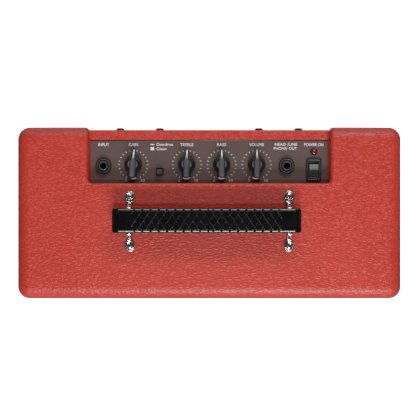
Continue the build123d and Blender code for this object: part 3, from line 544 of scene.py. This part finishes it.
def strap_half(side):
    """Half of the strap, from one end to the middle, with its lattice, beads and slot."""
    body = "strap_left" if side < 0 else "strap_right"
    low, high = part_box(body)
    end_x = low.x if side < 0 else high.x
    centre_y = (low.y + high.y) / 2
    half_width = (high.y - low.y) / 2
    z0, z1 = low.z, high.z
    length = abs(end_x)
    stations = [0.0, 0.25 * MM, 0.6 * MM, 1.0 * MM, 1.6 * MM, 2.3 * MM, 3.2 * MM, STRAP_END_ROUND]
    count = ceil((length - STRAP_END_ROUND) / STRAP_STATION)
    stations += [STRAP_END_ROUND + (length - STRAP_END_ROUND) * i / count for i in range(1, count + 1)]
    rings = []
    for s in stations:
        into = min(1.0, s / STRAP_END_ROUND)
        arc = sqrt(max(0.0, 1 - (1 - into) ** 2))
        top = z1 - (1 - arc) * 3.4 * MM - CREST
        bottom = z0 + (1 - arc) * 0.9 * MM
        near = min(1.0, s / PLAN_CORNER)
        half = half_width - (1 - sqrt(max(0.0, 1 - (1 - near) ** 2))) * 0.8 * PLAN_CORNER
        x = end_x - side * s
        plain = smooth_step((s - LATTICE_START) / (2 * MM))
        section = strap_section(x, half, bottom, top, dash(s), plain)
        rings.append([(x, centre_y + y, z) for y, z in section])
    points, faces = loft(rings)
    if side > 0:
        faces = [tuple(reversed(face)) for face in faces]
    name = "strap_cover_left" if side < 0 else "strap_cover_right"
    strap = make_piece(name, points, faces, MATERIALS["handle_plastic"], None, "handle_plastic")
    scuff_ribs(strap, end_x, centre_y, z1)
    cut_slot(strap, side, end_x, centre_y, (z0 + z1) / 2)
    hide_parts(body)
    if side < 0:
        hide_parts("handle_grip")
    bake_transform(strap)
    return strap


def scuff_ribs(strap, end_x, centre_y, top):
    """Gives the crests of the crossed ribs a duller, scuffed plastic."""
    strap.data.materials.append(RIB_PLASTIC)
    for face in strap.data.polygons:
        x, y = face.center.x, face.center.y - centre_y
        on_field = abs(y) < LATTICE_HALF_Y and abs(end_x - x) > LATTICE_START + 2 * MM
        if on_field and face.center.z > top - 1.5 * MM and lattice(x, y) > 0.4:
            face.material_index = 1


def cut_slot(strap, side, end_x, centre_y, centre_z):
    """Cuts the slot that the bracket's bar runs in, with rounded ends."""
    middle_x = end_x - side * (SLOT_INSET + SLOT_LENGTH / 2)
    rings = []
    for y in (centre_y - SLOT_REACH, centre_y + SLOT_REACH):
        ring = []
        for i in range(SLOT_STEPS):
            a = 2 * pi * i / SLOT_STEPS
            square = max(abs(cos(a)), abs(sin(a)))
            r = 1.0 / max(square, SLOT_SQUARENESS)
            ring.append((middle_x + SLOT_LENGTH / 2 * cos(a) * r, y, centre_z + SLOT_HEIGHT / 2 * sin(a) * r))
        rings.append(ring)
    points, faces = loft(rings)
    mesh = bpy.data.meshes.new("slot_cutter")
    mesh.from_pydata(points, [], faces)
    cutter = bpy.data.objects.new("slot_cutter", mesh)
    bpy.context.scene.collection.objects.link(cutter)
    modifier = strap.modifiers.new("slot", "BOOLEAN")
    modifier.operation = "DIFFERENCE"
    modifier.solver = "EXACT"
    modifier.object = cutter
    baked(strap)
    bpy.data.objects.remove(cutter)
    sharpen(strap, 38.0)


# ------------------------------------------------------------------ handle brackets
TAB_OFFSET = 24.4 * MM
TAB_RADIUS = 5.2 * MM
TAB_FLOOR = 1.55 * MM
TAB_RIM = 2.7 * MM
NECK_HALF_WIDTH = 2.3 * MM
NECK_THICK = 1.6 * MM


def tab_shell(side):
    """A cupped, pear-shaped tab with a raised round rim, its narrow end towards the strap."""
    profile = [
        (0.0, TAB_FLOOR), (0.35, TAB_FLOOR), (0.62, TAB_FLOOR), (0.7, TAB_FLOOR + 0.15 * MM),
        (0.77, TAB_FLOOR + 0.65 * MM), (0.83, TAB_RIM - 0.1 * MM), (0.89, TAB_RIM),
        (0.95, TAB_RIM - 0.15 * MM), (0.99, TAB_RIM - 0.6 * MM), (1.0, TAB_RIM - 1.2 * MM),
        (1.0, 0.3 * MM), (0.97, 0.0),
    ]
    steps = 64
    rings = []
    for share, z in profile:
        ring = []
        for i in range(steps):
            a = 2 * pi * i / steps
            towards = max(0.0, -side * sin(a))
            away = max(0.0, side * sin(a))
            radius = TAB_RADIUS + 1.7 * MM * towards ** 5 - 0.25 * MM * towards * (1 - towards)
            radius += 0.4 * MM * away ** 2
            ring.append((share * radius * cos(a), side * TAB_OFFSET + share * radius * sin(a), TOP_Z + z))
        rings.append(ring)
    rings[0] = [(p[0] + 1e-5 * cos(2 * pi * i / steps), p[1] + 1e-5 * sin(2 * pi * i / steps), p[2])
                for i, p in enumerate(rings[0])]
    points, faces = loft(rings)
    return points, [tuple(reversed(face)) for face in faces]


def neck_path(rise):
    """The bridge's centre line as (y, z) points from one tab to the other."""
    bend = 1.6
    half = [(-19.6, 1.3), (-18.7, 1.45), (-18.0, 1.75), (-17.5, 2.2), (-17.1, 3.0)]
    for i in range(8):
        a = radians(75 - 10 * i)
        half.append((-11.9 - bend * sin(a), rise - bend + bend * cos(a)))
    half += [(-11.9, rise), (-6.0, rise), (0.0, rise)]
    path = [(y * MM, z * MM) for y, z in half]
    return path + [(-y, z) for y, z in reversed(path[:-1])]


def neck_shell(rise):
    """The bridge that runs up from each tab and through the strap's slot."""
    path = neck_path(rise)
    rings = []
    for i, (y, z) in enumerate(path):
        before, after = path[max(0, i - 1)], path[min(len(path) - 1, i + 1)]
        dy, dz = after[0] - before[0], after[1] - before[1]
        run = hypot(dy, dz)
        ny, nz = -dz / run, dy / run
        ends = min(i, len(path) - 1 - i)
        half_width = NECK_HALF_WIDTH - (0.45 * MM if ends in (1, 2, 3) else 0.0)
        ring = []
        for k in range(16):
            a = 2 * pi * k / 16
            c, s = cos(a), sin(a)
            wide = half_width * (abs(c) ** 0.5) * (1 if c >= 0 else -1)
            thick = NECK_THICK / 2 * (abs(s) ** 0.6) * (1 if s >= 0 else -1)
            ring.append((wide, y + ny * thick, TOP_Z + z + nz * thick))
        rings.append(ring)
    points, faces = loft(rings)
    return points, [tuple(reversed(face)) for face in faces]


def ball_shell(centre, radius, rows=12, columns=24):
    """A closed ball, for the knuckle between tab and neck."""
    rings = []
    for i in range(rows + 1):
        a = pi * i / rows
        r = max(1e-6, radius * sin(a))
        z = centre[2] - radius * cos(a)
        rings.append([
            (centre[0] + r * cos(2 * pi * j / columns), centre[1] + r * sin(2 * pi * j / columns), z)
            for j in range(columns)
        ])
    return loft(rings)


def make_brackets():
    """Both brackets, each two tabs, two knuckles and the bridge between them."""
    low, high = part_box("handle_brackets")
    centre_y = (low.y + high.y) / 2
    rise = (high.z - TOP_Z) / MM - 0.8
    half_span = (high.x - low.x) / 2 - 5.2 * MM
    shells = []
    for side in (-1, 1):
        shells += [tab_shell(side), ball_shell((0, side * 17.0 * MM, TOP_Z + 2.4 * MM), 1.55 * MM)]
    shells.append(neck_shell(rise))
    one = merged(shells)
    both = merged([
        moved(one, Matrix.Translation((x, centre_y, 0))) for x in (-half_span, half_span)
    ])
    brackets = make_piece(
        "handle_bridge_brackets", *both, MATERIALS["handle_chrome"], "cabinet", "handle_chrome"
    )
    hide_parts("handle_brackets")
    return sharpen(brackets, 50.0)


# ------------------------------------------------------------------ pointer knobs
KNOB_ANGLES = 240
KNOB_LEVELS = (
    0.8, 1.0, 1.59, 1.6, 2.2, 2.8, 3.4, 3.9, 4.05, 4.15, 4.28, 4.3, 4.35, 4.4, 4.46, 4.55, 4.7, 5.0, 5.4,
    6.0, 6.4, 7.1, 8.0, 9.0, 10.0, 11.0, 12.0, 12.6, 12.99, 13.01, 13.3, 13.6, 13.9, 14.1,
)
KNOB_TOP = 14.2
EAR_TOP = 13.0
LIP_TOP = 4.3
LIP_HALF = 4.3
CHAMFER_FROM = 12.6
CHAMFER_RATE = 1.0
REST_TURNS = {"gain": -4.0, "treble": -1.5, "bass": -0.5, "volume": -1.0}
NOSE_SLOPE = (
    (1.6, 15.3), (4.8, 15.3), (5.5, 14.9), (5.9, 13.6), (6.4, 12.2), (7.1, 10.8), (8.2, 9.4),
    (9.8, 7.9), (11.8, 6.5), (14.2, 4.8),
)
SKIRT_SLOPE = (
    (0.8, 8.5), (1.0, 8.8), (3.4, 8.75), (4.2, 8.5), (4.8, 7.9), (5.3, 7.0), (6.2, 6.1), (7.6, 5.4),
    (9.6, 5.0), (14.2, 4.9),
)
TAIL_SLOPE = (
    (1.6, 15.2), (3.9, 15.2), (4.15, 15.0), (4.28, 14.6), (4.3, 14.4), (4.46, 13.3), (4.7, 13.15),
    (5.4, 13.05), (12.4, 12.8), (13.4, 12.6), (14.2, 12.2),
)
TAIL_HALF = 3.6
TAIL_BULGE = 0.85
NOSE_HALF_BASE = 2.1
NOSE_HALF_TIP = 0.55


def between(table, z):
    """Straight-line lookup in a table of (z, value)."""
    if z <= table[0][0]:
        return table[0][1]
    for (za, va), (zb, vb) in zip(table, table[1:]):
        if z <= zb:
            return va + (vb - va) * (z - za) / (zb - za)
    return table[-1][1]


def soft_max(a, b, width=0.35):
    """The larger of two lengths, with the corner between them rounded."""
    h = max(0.0, width - abs(a - b)) / width
    return max(a, b) + h * h * width / 4


def bar_half(z):
    """Half the width of the finger bar: chamfered along its top, flared at the foot of its tail."""
    if z > CHAMFER_FROM:
        return TAIL_HALF - (z - CHAMFER_FROM) * CHAMFER_RATE
    return between(((LIP_TOP, LIP_HALF), (LIP_TOP + 0.5, TAIL_HALF)), z)


def knob_radius(angle, z):
    """The knob's outline at height z, angle 0 at the pointer, in millimetres."""
    across, forward = max(1e-6, abs(sin(angle))), cos(angle)
    radius = between(SKIRT_SLOPE, z)
    if z > EAR_TOP:
        radius = min(radius, bar_half(z) / across)
    if forward > 1e-6 and z >= 1.6:
        reach = between(NOSE_SLOPE, z)
        taper = (NOSE_HALF_BASE - NOSE_HALF_TIP) / (NOSE_SLOPE[0][1] - 2.0)
        side = (NOSE_HALF_BASE + 2.0 * taper) / (across + taper * forward)
        radius = soft_max(radius, min(side, reach / forward))
    if forward < -1e-6 and z >= 1.6:
        bulge = between(TAIL_SLOPE, z) * (1 - TAIL_BULGE * across ** 2)
        radius = soft_max(radius, min(bar_half(z) / across, bulge / -forward))
    return radius


def knob_shell():
    """A pointer knob about its own axis, its pointer along +Y, standing on the panel at z = 0."""
    rings = []
    for z in KNOB_LEVELS:
        ring = []
        for i in range(KNOB_ANGLES):
            a = 2 * pi * i / KNOB_ANGLES
            r = knob_radius(a, z)
            ring.append((r * sin(a) * MM, r * cos(a) * MM, z * MM))
        rings.append(ring)
    last = rings[-1]
    for share in (0.96, 0.7, 0.4, 0.02):
        rings.append([(x * share, y * share, KNOB_TOP * MM) for x, y, _ in last])
    points, faces = loft(rings)
    return points, [tuple(reversed(face)) for face in faces]


def paint_light_on_knob_top(piece, base_z):
    """Paints light on a knob's top: its flat tops get a pale grey as painted highlight, and its chamfers a
    middling grey as painted half light, both lighter than the knob's black.
    """
    piece.data.materials.append(KNOB_TOP_PAINTED_HIGHLIGHT)
    piece.data.materials.append(KNOB_CHAMFER_PAINTED_HALF_LIGHT)
    for face in piece.data.polygons:
        # Painted light by facing: faces turned straight up get the pale highlight grey, and the sloping
        # chamfers get the middling grey.
        if face.center.z > base_z + (EAR_TOP - 0.02) * MM and face.normal.z > 0.4:
            face.material_index = 1 if face.normal.z > 0.85 else 2


def pointer_shell():
    """The white line let into the nose, from the round body to the tip."""
    slope = sorted((reach, z) for z, reach in NOSE_SLOPE if z >= 4.8)
    start, end, steps = 5.0, 14.9, 28
    base_half, tip_half, proud, depth = 1.2, 0.36, 0.05, 0.3
    rings = []
    for i in range(steps + 1):
        y = start + (end - start) * i / steps
        z = between(slope, y)
        half = base_half + (tip_half - base_half) * i / steps
        rings.append([
            (-half * MM, y * MM, (z + proud) * MM), (half * MM, y * MM, (z + proud) * MM),
            (half * MM, y * MM, (z - depth) * MM), (-half * MM, y * MM, (z - depth) * MM),
        ])
    points, faces = loft(rings)
    return points, faces


def make_knobs():
    """The four knobs and their white lines, each turned to where it rests."""
    knob, pointer = knob_shell(), pointer_shell()
    for name in KNOB_NAMES:
        place = middle(name + "_shaft")
        turn = Matrix.Rotation(radians(REST_TURNS[name]), 4, "Z")
        here = Matrix.Translation((place.x, place.y, PANEL_Z)) @ turn
        body = name + "_control"
        shell = make_piece(
            name + "_pointer_knob", *moved(knob, here), MATERIALS["knob_plastic"], body, "knob_plastic"
        )
        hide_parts(name + "_knob")
        paint_light_on_knob_top(shell, PANEL_Z)
        sharpen(shell, 32.0)
        line = make_piece(
            name + "_pointer_line", *moved(pointer, here), POINTER_WHITE, body, "knob_plastic"
        )
        sharpen(line, 40.0)


# ------------------------------------------------------------------ printing on the panel
PRINT_LOW = 0.01 * MM
PRINT_HIGH = 0.05 * MM
TICK_COUNT = 21
TICK_HALF_WIDTH = 0.28 * MM
TICK_START = 13.5 * MM
TICK_END = 15.1 * MM
DIAL_SWEEP = 150.0


def make_letters(name, text, centre, width, cap_height):
    """Plain lettering as a thin mesh on the panel, fitted to a width and a height."""
    curve = bpy.data.curves.new(name, "FONT")
    curve.body = text
    curve.align_x = "CENTER"
    curve.offset = 0.012
    source = bpy.data.objects.new(name, curve)
    bpy.context.scene.collection.objects.link(source)
    view = bpy.context.evaluated_depsgraph_get()
    flat = bpy.data.meshes.new_from_object(source.evaluated_get(view))
    bpy.data.objects.remove(source)
    xs = [v.co.x for v in flat.vertices]
    ys = [v.co.y for v in flat.vertices]
    grow_x = width / (max(xs) - min(xs))
    grow_y = cap_height / (max(ys) - min(ys))
    mid_x, mid_y = (max(xs) + min(xs)) / 2, (max(ys) + min(ys)) / 2
    points = [
        (centre[0] + (v.co.x - mid_x) * grow_x, centre[1] + (v.co.y - mid_y) * grow_y, PANEL_Z + PRINT_HIGH)
        for v in flat.vertices
    ]
    faces = [tuple(p.vertices) for p in flat.polygons]
    piece = make_piece(name, points, faces, PRINT, "cabinet", "panel_paint", smooth=False)
    solid = piece.modifiers.new("thickness", "SOLIDIFY")
    solid.thickness = PRINT_HIGH - PRINT_LOW
    solid.offset = -1.0
    return baked(piece)


def tick_shells(centre):
    """Short radial dashes round one knob."""
    shells = []
    for i in range(TICK_COUNT):
        a = radians(-DIAL_SWEEP + 2 * DIAL_SWEEP * i / (TICK_COUNT - 1))
        tick = box_shell(
            -TICK_HALF_WIDTH, TICK_HALF_WIDTH, TICK_START, TICK_END, PANEL_Z + PRINT_LOW, PANEL_Z + PRINT_HIGH
        )
        turn = Matrix.Translation((centre.x, centre.y, 0)) @ Matrix.Rotation(-a, 4, "Z")
        shells.append(moved(tick, turn))
    return shells


def make_print():
    """All the pale printing: tick marks, control words, the two button marks and dial numbers."""
    shells = []
    for name in KNOB_NAMES:
        shells += tick_shells(middle(name + "_shaft"))
    make_piece("panel_tick_marks", *merged(shells), PRINT, "cabinet", "panel_paint", smooth=False)
    label_y = 68.2 * MM
    cap = 3.1 * MM
    labels = [
        ("label_input", "INPUT", middle("input_jack").x, 11.0),
        ("label_gain", "GAIN", middle("gain_shaft").x, 9.2),
        ("label_treble", "TREBLE", middle("treble_shaft").x, 13.2),
        ("label_bass", "BASS", middle("bass_shaft").x, 9.2),
        ("label_volume", "VOLUME", middle("volume_shaft").x, 14.6),
        ("label_power", "POWER ON", middle("power_led").x, 19.4),
    ]
    for name, text, x, width in labels:
        make_letters(name, text, (x, label_y), width * MM, cap)
    phones_x = middle("phones_jack").x
    make_letters("label_phones_1", "HEAD /LINE", (phones_x - 0.4 * MM, 68.5 * MM), 22.4 * MM, 2.9 * MM)
    make_letters("label_phones_2", "PHONE/ OUT", (phones_x - 1.2 * MM, 64.4 * MM), 23.2 * MM, 2.9 * MM)
    button_x = middle("channel_button").x
    make_letters("label_drive", "Overdrive", (button_x + 5.0 * MM, 68.4 * MM), 16.6 * MM, 2.9 * MM)
    make_letters("label_clean", "Clean", (button_x + 1.7 * MM, 64.0 * MM), 10.0 * MM, 2.8 * MM)
    low, high = PANEL_Z + PRINT_LOW, PANEL_Z + PRINT_HIGH
    mark_x = button_x - 7.4 * MM
    marks = [
        box_shell(mark_x - 1.9 * MM, mark_x + 1.9 * MM, 67.9 * MM, 68.9 * MM, low, high),
        box_shell(mark_x - 1.7 * MM, mark_x + 1.7 * MM, 62.6 * MM, 65.6 * MM, low, high),
    ]
    make_piece("label_button_marks", *merged(marks), PRINT, "cabinet", "panel_paint", smooth=False)
    for name in KNOB_NAMES:
        centre = middle(name + "_shaft")
        make_letters(name + "_dial_0", "0", (centre.x - 7.6 * MM, centre.y - 15.8 * MM), 1.7 * MM, 2.2 * MM)
        make_letters(name + "_dial_10", "10", (centre.x + 9.4 * MM, centre.y - 15.6 * MM), 3.4 * MM, 2.2 * MM)


# ------------------------------------------------------------------ panel fittings
def make_fittings():
    """The lamp's bezel and the bright edge at the back of the panel."""
    led = middle("power_led")
    z = PANEL_Z
    bezel = turned_shell(
        [(2.88 * MM, z - 0.4 * MM), (3.6 * MM, z - 0.4 * MM), (3.6 * MM, z + 0.4 * MM),
         (3.4 * MM, z + 0.7 * MM), (3.1 * MM, z + 0.75 * MM), (2.88 * MM, z + 0.5 * MM)],
        led,
    )
    bezel = ring_shell(bezel, 6, 48)
    make_piece("lamp_bezel", *bezel, MATERIALS["switch_plastic"], "cabinet", "switch_plastic")
    low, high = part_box("control_panel")
    edge_y = high.y - 0.4 * MM
    rings = []
    for x in (-118.2 * MM, 118.2 * MM):
        ring = []
        for i in range(16):
            a = 2 * pi * i / 16
            ring.append((x, edge_y + 0.35 * MM * cos(a), PANEL_Z - 0.1 * MM + 0.35 * MM * sin(a)))
        rings.append(ring)
    points, faces = loft(rings)
    make_piece(
        "panel_back_edge", points, [tuple(reversed(f)) for f in faces], EDGE_METAL, "cabinet", "panel_paint"
    )


def make_recess_folds():
    """The steep fold of vinyl along the foot of the recess's two side walls, as (in from the wall,
    up from the panel)."""
    profile = ((-0.3, 0.02), (-0.3, 8.0), (0.0, 8.0), (0.45, 5.0), (0.9, 2.6), (1.3, 1.0), (1.6, 0.02))
    back_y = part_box("control_panel")[1].y
    for side, name in ((-1, "recess_fold_left"), (1, "recess_fold_right")):
        wall = side * RECESS_HALF_WIDTH
        rings = []
        for y in (RECESS_FRONT_Y + 2.5 * MM, back_y):
            rings.append([(wall - side * into * MM, y, PANEL_Z + up * MM) for into, up in profile])
        points, faces = loft(rings)
        if side > 0:
            faces = [tuple(reversed(face)) for face in faces]
        fold = make_piece(name, points, faces, MATERIALS["red_vinyl"], "cabinet", "red_vinyl")
        sharpen(fold, 50.0)


def frame_ring(half_x, half_y, corner, base, radius, centre):
    """A round bead that runs round a rectangle with rounded corners."""
    path = []
    for quarter, (sx, sy) in enumerate(((1, 1), (-1, 1), (-1, -1), (1, -1))):
        for i in range(7):
            a = pi / 2 * (quarter + i / 6)
            out_x, out_y = cos(a), sin(a)
            path.append((sx * (half_x - corner), sy * (half_y - corner), out_x, out_y))
    points, faces = [], []
    around = 12
    for x, y, out_x, out_y in path:
        for k in range(around):
            b = 2 * pi * k / around
            reach = corner + radius * cos(b)
            place = (centre.x + x + out_x * reach, centre.y + y + out_y * reach, base + radius * sin(b))
            points.append(place)
    for i in range(len(path)):
        j = (i + 1) % len(path)
        for k in range(around):
            n = (k + 1) % around
            faces.append((i * around + k, j * around + k, j * around + n, i * around + n))
    return points, faces


def make_switch_rim():
    """The raised beads round the power switch's frame and round its well."""
    low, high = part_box("power_switch_housing")
    centre = middle("power_rocker")
    centre.y = (low.y + high.y) / 2
    half_x, half_y = (high.x - low.x) / 2, (high.y - low.y) / 2
    outer = frame_ring(half_x - 1.5 * MM, half_y - 1.5 * MM, 1.2 * MM, high.z - 0.1 * MM, 0.55 * MM, centre)
    inner = frame_ring(half_x - 3.1 * MM, half_y - 3.4 * MM, 0.8 * MM, high.z - 0.15 * MM, 0.4 * MM, centre)
    # The beads use the paler plastic with the painted highlight.
    rim = make_piece("power_switch_rim", *merged([outer, inner]), FRAME_RIM_PAINTED_HIGHLIGHT, "cabinet", "switch_plastic")
    return sharpen(rim, 60.0)


def make_jack_rims():
    """Rounded, glossy rings on the two jacks: the grip's upper edge and the barrel's lip."""
    for name in ("input", "phones"):
        centre = middle(name + "_jack")
        z = PANEL_Z
        grip = turned_shell(
            [(5.9 * MM, z + 3.2 * MM), (7.1 * MM, z + 3.0 * MM), (7.05 * MM, z + 3.35 * MM),
             (6.85 * MM, z + 3.65 * MM), (6.5 * MM, z + 3.85 * MM), (6.1 * MM, z + 3.8 * MM)],
            centre,
        )
        lip = turned_shell(
            [(3.3 * MM, z + 5.2 * MM), (4.5 * MM, z + 5.2 * MM), (4.45 * MM, z + 5.55 * MM),
             (4.2 * MM, z + 5.8 * MM), (3.8 * MM, z + 5.85 * MM), (3.45 * MM, z + 5.6 * MM)],
            centre,
        )
        shells = merged([ring_shell(grip, 6, 48), ring_shell(lip, 6, 48)])
        # The rings use the paler plastic with the painted highlight.
        make_piece(name + "_jack_rims", *shells, FRAME_RIM_PAINTED_HIGHLIGHT, "cabinet", "jack_plastic")


def ring_shell(shell, rows, steps):
    """Closes a turned shell on itself, as a ring with a hole, in place of its two end caps."""
    points, faces = shell
    faces = faces[:-2]
    last = (rows - 1) * steps
    for j in range(steps):
        k = (j + 1) % steps
        faces.append((last + j, last + k, k, j))
    return points, faces


# ------------------------------------------------------------------ grille cloth
def make_grille():
    """The cloth stretched over the baffle, tucked back a little at its edges."""
    low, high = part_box("grille_cloth")
    columns, rows = 116, 72
    front, back = [], []
    for j in range(rows + 1):
        for i in range(columns + 1):
            x = low.x + (high.x - low.x) * i / columns
            z = low.z + (high.z - low.z) * j / rows
            edge = min(x - low.x, high.x - x, z - low.z, high.z - z)
            tuck = 0.35 * MM * (1 - smooth_step(edge / (5 * MM)))
            front.append((x, low.y + tuck, z))
            back.append((x, high.y - 0.05 * MM, z))
    count = len(front)
    wide = columns + 1
    faces = []
    for j in range(rows):
        for i in range(columns):
            a = j * wide + i
            faces.append((a, a + 1, a + wide + 1, a + wide))
            faces.append((count + a, count + a + wide, count + a + wide + 1, count + a + 1))
    rim = [i for i in range(wide)]
    rim += [j * wide + columns for j in range(1, rows + 1)]
    rim += [rows * wide + i for i in range(columns - 1, -1, -1)]
    rim += [j * wide for j in range(rows - 1, 0, -1)]
    for a, b in zip(rim, rim[1:] + rim[:1]):
        faces.append((b, a, count + a, count + b))
    cloth = make_piece(
        "stretched_grille_cloth", front + back, faces, MATERIALS["grille_cloth"], "cabinet", "grille_cloth"
    )
    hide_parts("grille_cloth")
    sharpen(cloth, 60.0)


# ------------------------------------------------------------------ stage, light and camera
PLANE_DISTANCE = 1.13
VIEW_WIDTH_AT_TOP = 413.6 * MM
AIM_X = 0.7 * MM
AIM_Y = 2.95 * MM
FLOOR_HALF = 60.0
FLOOR_Z = -0.0002
# name, width and height in metres, power in watts, azimuth and elevation in degrees, distance in metres
LIGHTS = (
    ("key", 0.76, 0.36, 17.4, 6.0, 41.0, 1.6),
    ("rear_strip", 1.3, 0.34, 13.0, 166.0, 35.0, 1.8),
    ("overhead_strip", 0.42, 0.14, 3.4, 0.0, 75.5, 1.6),
)


def make_floor():
    """A wide, pale floor just under the feet."""
    mesh = bpy.data.meshes.new("studio_floor")
    corners = [(x * FLOOR_HALF, y * FLOOR_HALF, FLOOR_Z) for x, y in ((-1, -1), (1, -1), (1, 1), (-1, 1))]
    mesh.from_pydata(corners, [], [(0, 1, 2, 3)])
    floor_piece = bpy.data.objects.new("studio_floor", mesh)
    bpy.context.scene.collection.objects.link(floor_piece)
    m = Material("studio_floor", (0.92, 0.92, 0.92), 0.8, Emission_Strength=0.75)
    m.set("Emission Color", (1.0, 1.0, 1.0, 1.0))
    tone = m.noise(m.place, 3.0, 2.0)
    m.color(m.mix(m.span(tone, 0.3, 0.7), (0.915, 0.915, 0.915), (0.925, 0.925, 0.925)))
    mesh.materials.append(m.material)
    floor_piece.visible_glossy = False
    floor_piece.visible_diffuse = False


def add_light(name, size_x, size_y, power, azimuth, elevation, distance):
    """A soft box aimed at the top of the amplifier; azimuth 0 is in front and 90 to the right."""
    light = bpy.data.lights.new(name, "AREA")
    light.shape = "RECTANGLE"
    light.size, light.size_y = size_x, size_y
    light.energy = power
    holder = bpy.data.objects.new(name, light)
    bpy.context.scene.collection.objects.link(holder)
    a, e = radians(azimuth), radians(elevation)
    way = Vector((sin(a) * cos(e), -cos(a) * cos(e), sin(e)))
    target = Vector((0, 0, TOP_Z))
    holder.location = target + way * distance
    holder.rotation_mode = "QUATERNION"
    holder.rotation_quaternion = way.to_track_quat("Z", "Y")
    holder.visible_camera = False


def make_world():
    """A plain studio dome: dark overhead and to the left and right, lighter in front and behind."""
    world = bpy.data.worlds.new("studio")
    bpy.context.scene.world = world
    world.use_nodes = True
    tree = world.node_tree
    place = tree.nodes.new("ShaderNodeTexCoord")
    parts = tree.nodes.new("ShaderNodeSeparateXYZ")
    ramp = tree.nodes.new("ShaderNodeValToRGB")
    tree.links.new(place.outputs["Generated"], parts.inputs[0])
    tree.links.new(parts.outputs["Z"], ramp.inputs["Fac"])
    tree.links.new(ramp.outputs["Color"], tree.nodes["Background"].inputs["Color"])
    stops = ramp.color_ramp.elements
    stops[0].position, stops[0].color = 0.0, (0.8, 0.8, 0.8, 1)
    stops[1].position, stops[1].color = 0.95, (0.06, 0.06, 0.06, 1)
    for position, level in ((0.04, 0.6), (0.16, 0.6), (0.35, 1.0), (0.65, 0.9), (0.82, 0.4)):
        ramp.color_ramp.elements.new(position).color = (level, level, level * 1.01, 1)
    square = tree.nodes.new("ShaderNodeMath")
    square.operation = "MULTIPLY"
    tree.links.new(parts.outputs["Y"], square.inputs[0])
    tree.links.new(parts.outputs["Y"], square.inputs[1])
    strength = tree.nodes.new("ShaderNodeMath")
    strength.operation = "MULTIPLY_ADD"
    tree.links.new(square.outputs[0], strength.inputs[0])
    strength.inputs[1].default_value, strength.inputs[2].default_value = 0.72, 0.18
    tree.links.new(strength.outputs[0], tree.nodes["Background"].inputs["Strength"])


def make_camera():
    """A camera straight above the amplifier, looking down."""
    camera = bpy.data.cameras.new("camera")
    camera.sensor_width = 36.0
    camera.lens = 36.0 * PLANE_DISTANCE / VIEW_WIDTH_AT_TOP
    holder = bpy.data.objects.new("camera", camera)
    holder.location = (AIM_X, AIM_Y, TOP_Z + PLANE_DISTANCE)
    holder.rotation_euler = (0, 0, 0)
    bpy.context.scene.collection.objects.link(holder)
    bpy.context.scene.camera = holder


dress_frame()
strap_half(-1)
strap_half(1)
make_brackets()
make_knobs()
make_print()
make_fittings()
make_recess_folds()
make_switch_rim()
make_jack_rims()
make_grille()
make_floor()
for light in LIGHTS:
    add_light(*light)
make_world()
make_camera()
scene = bpy.context.scene
scene.view_settings.view_transform = "Standard"
scene.view_settings.look = "None"
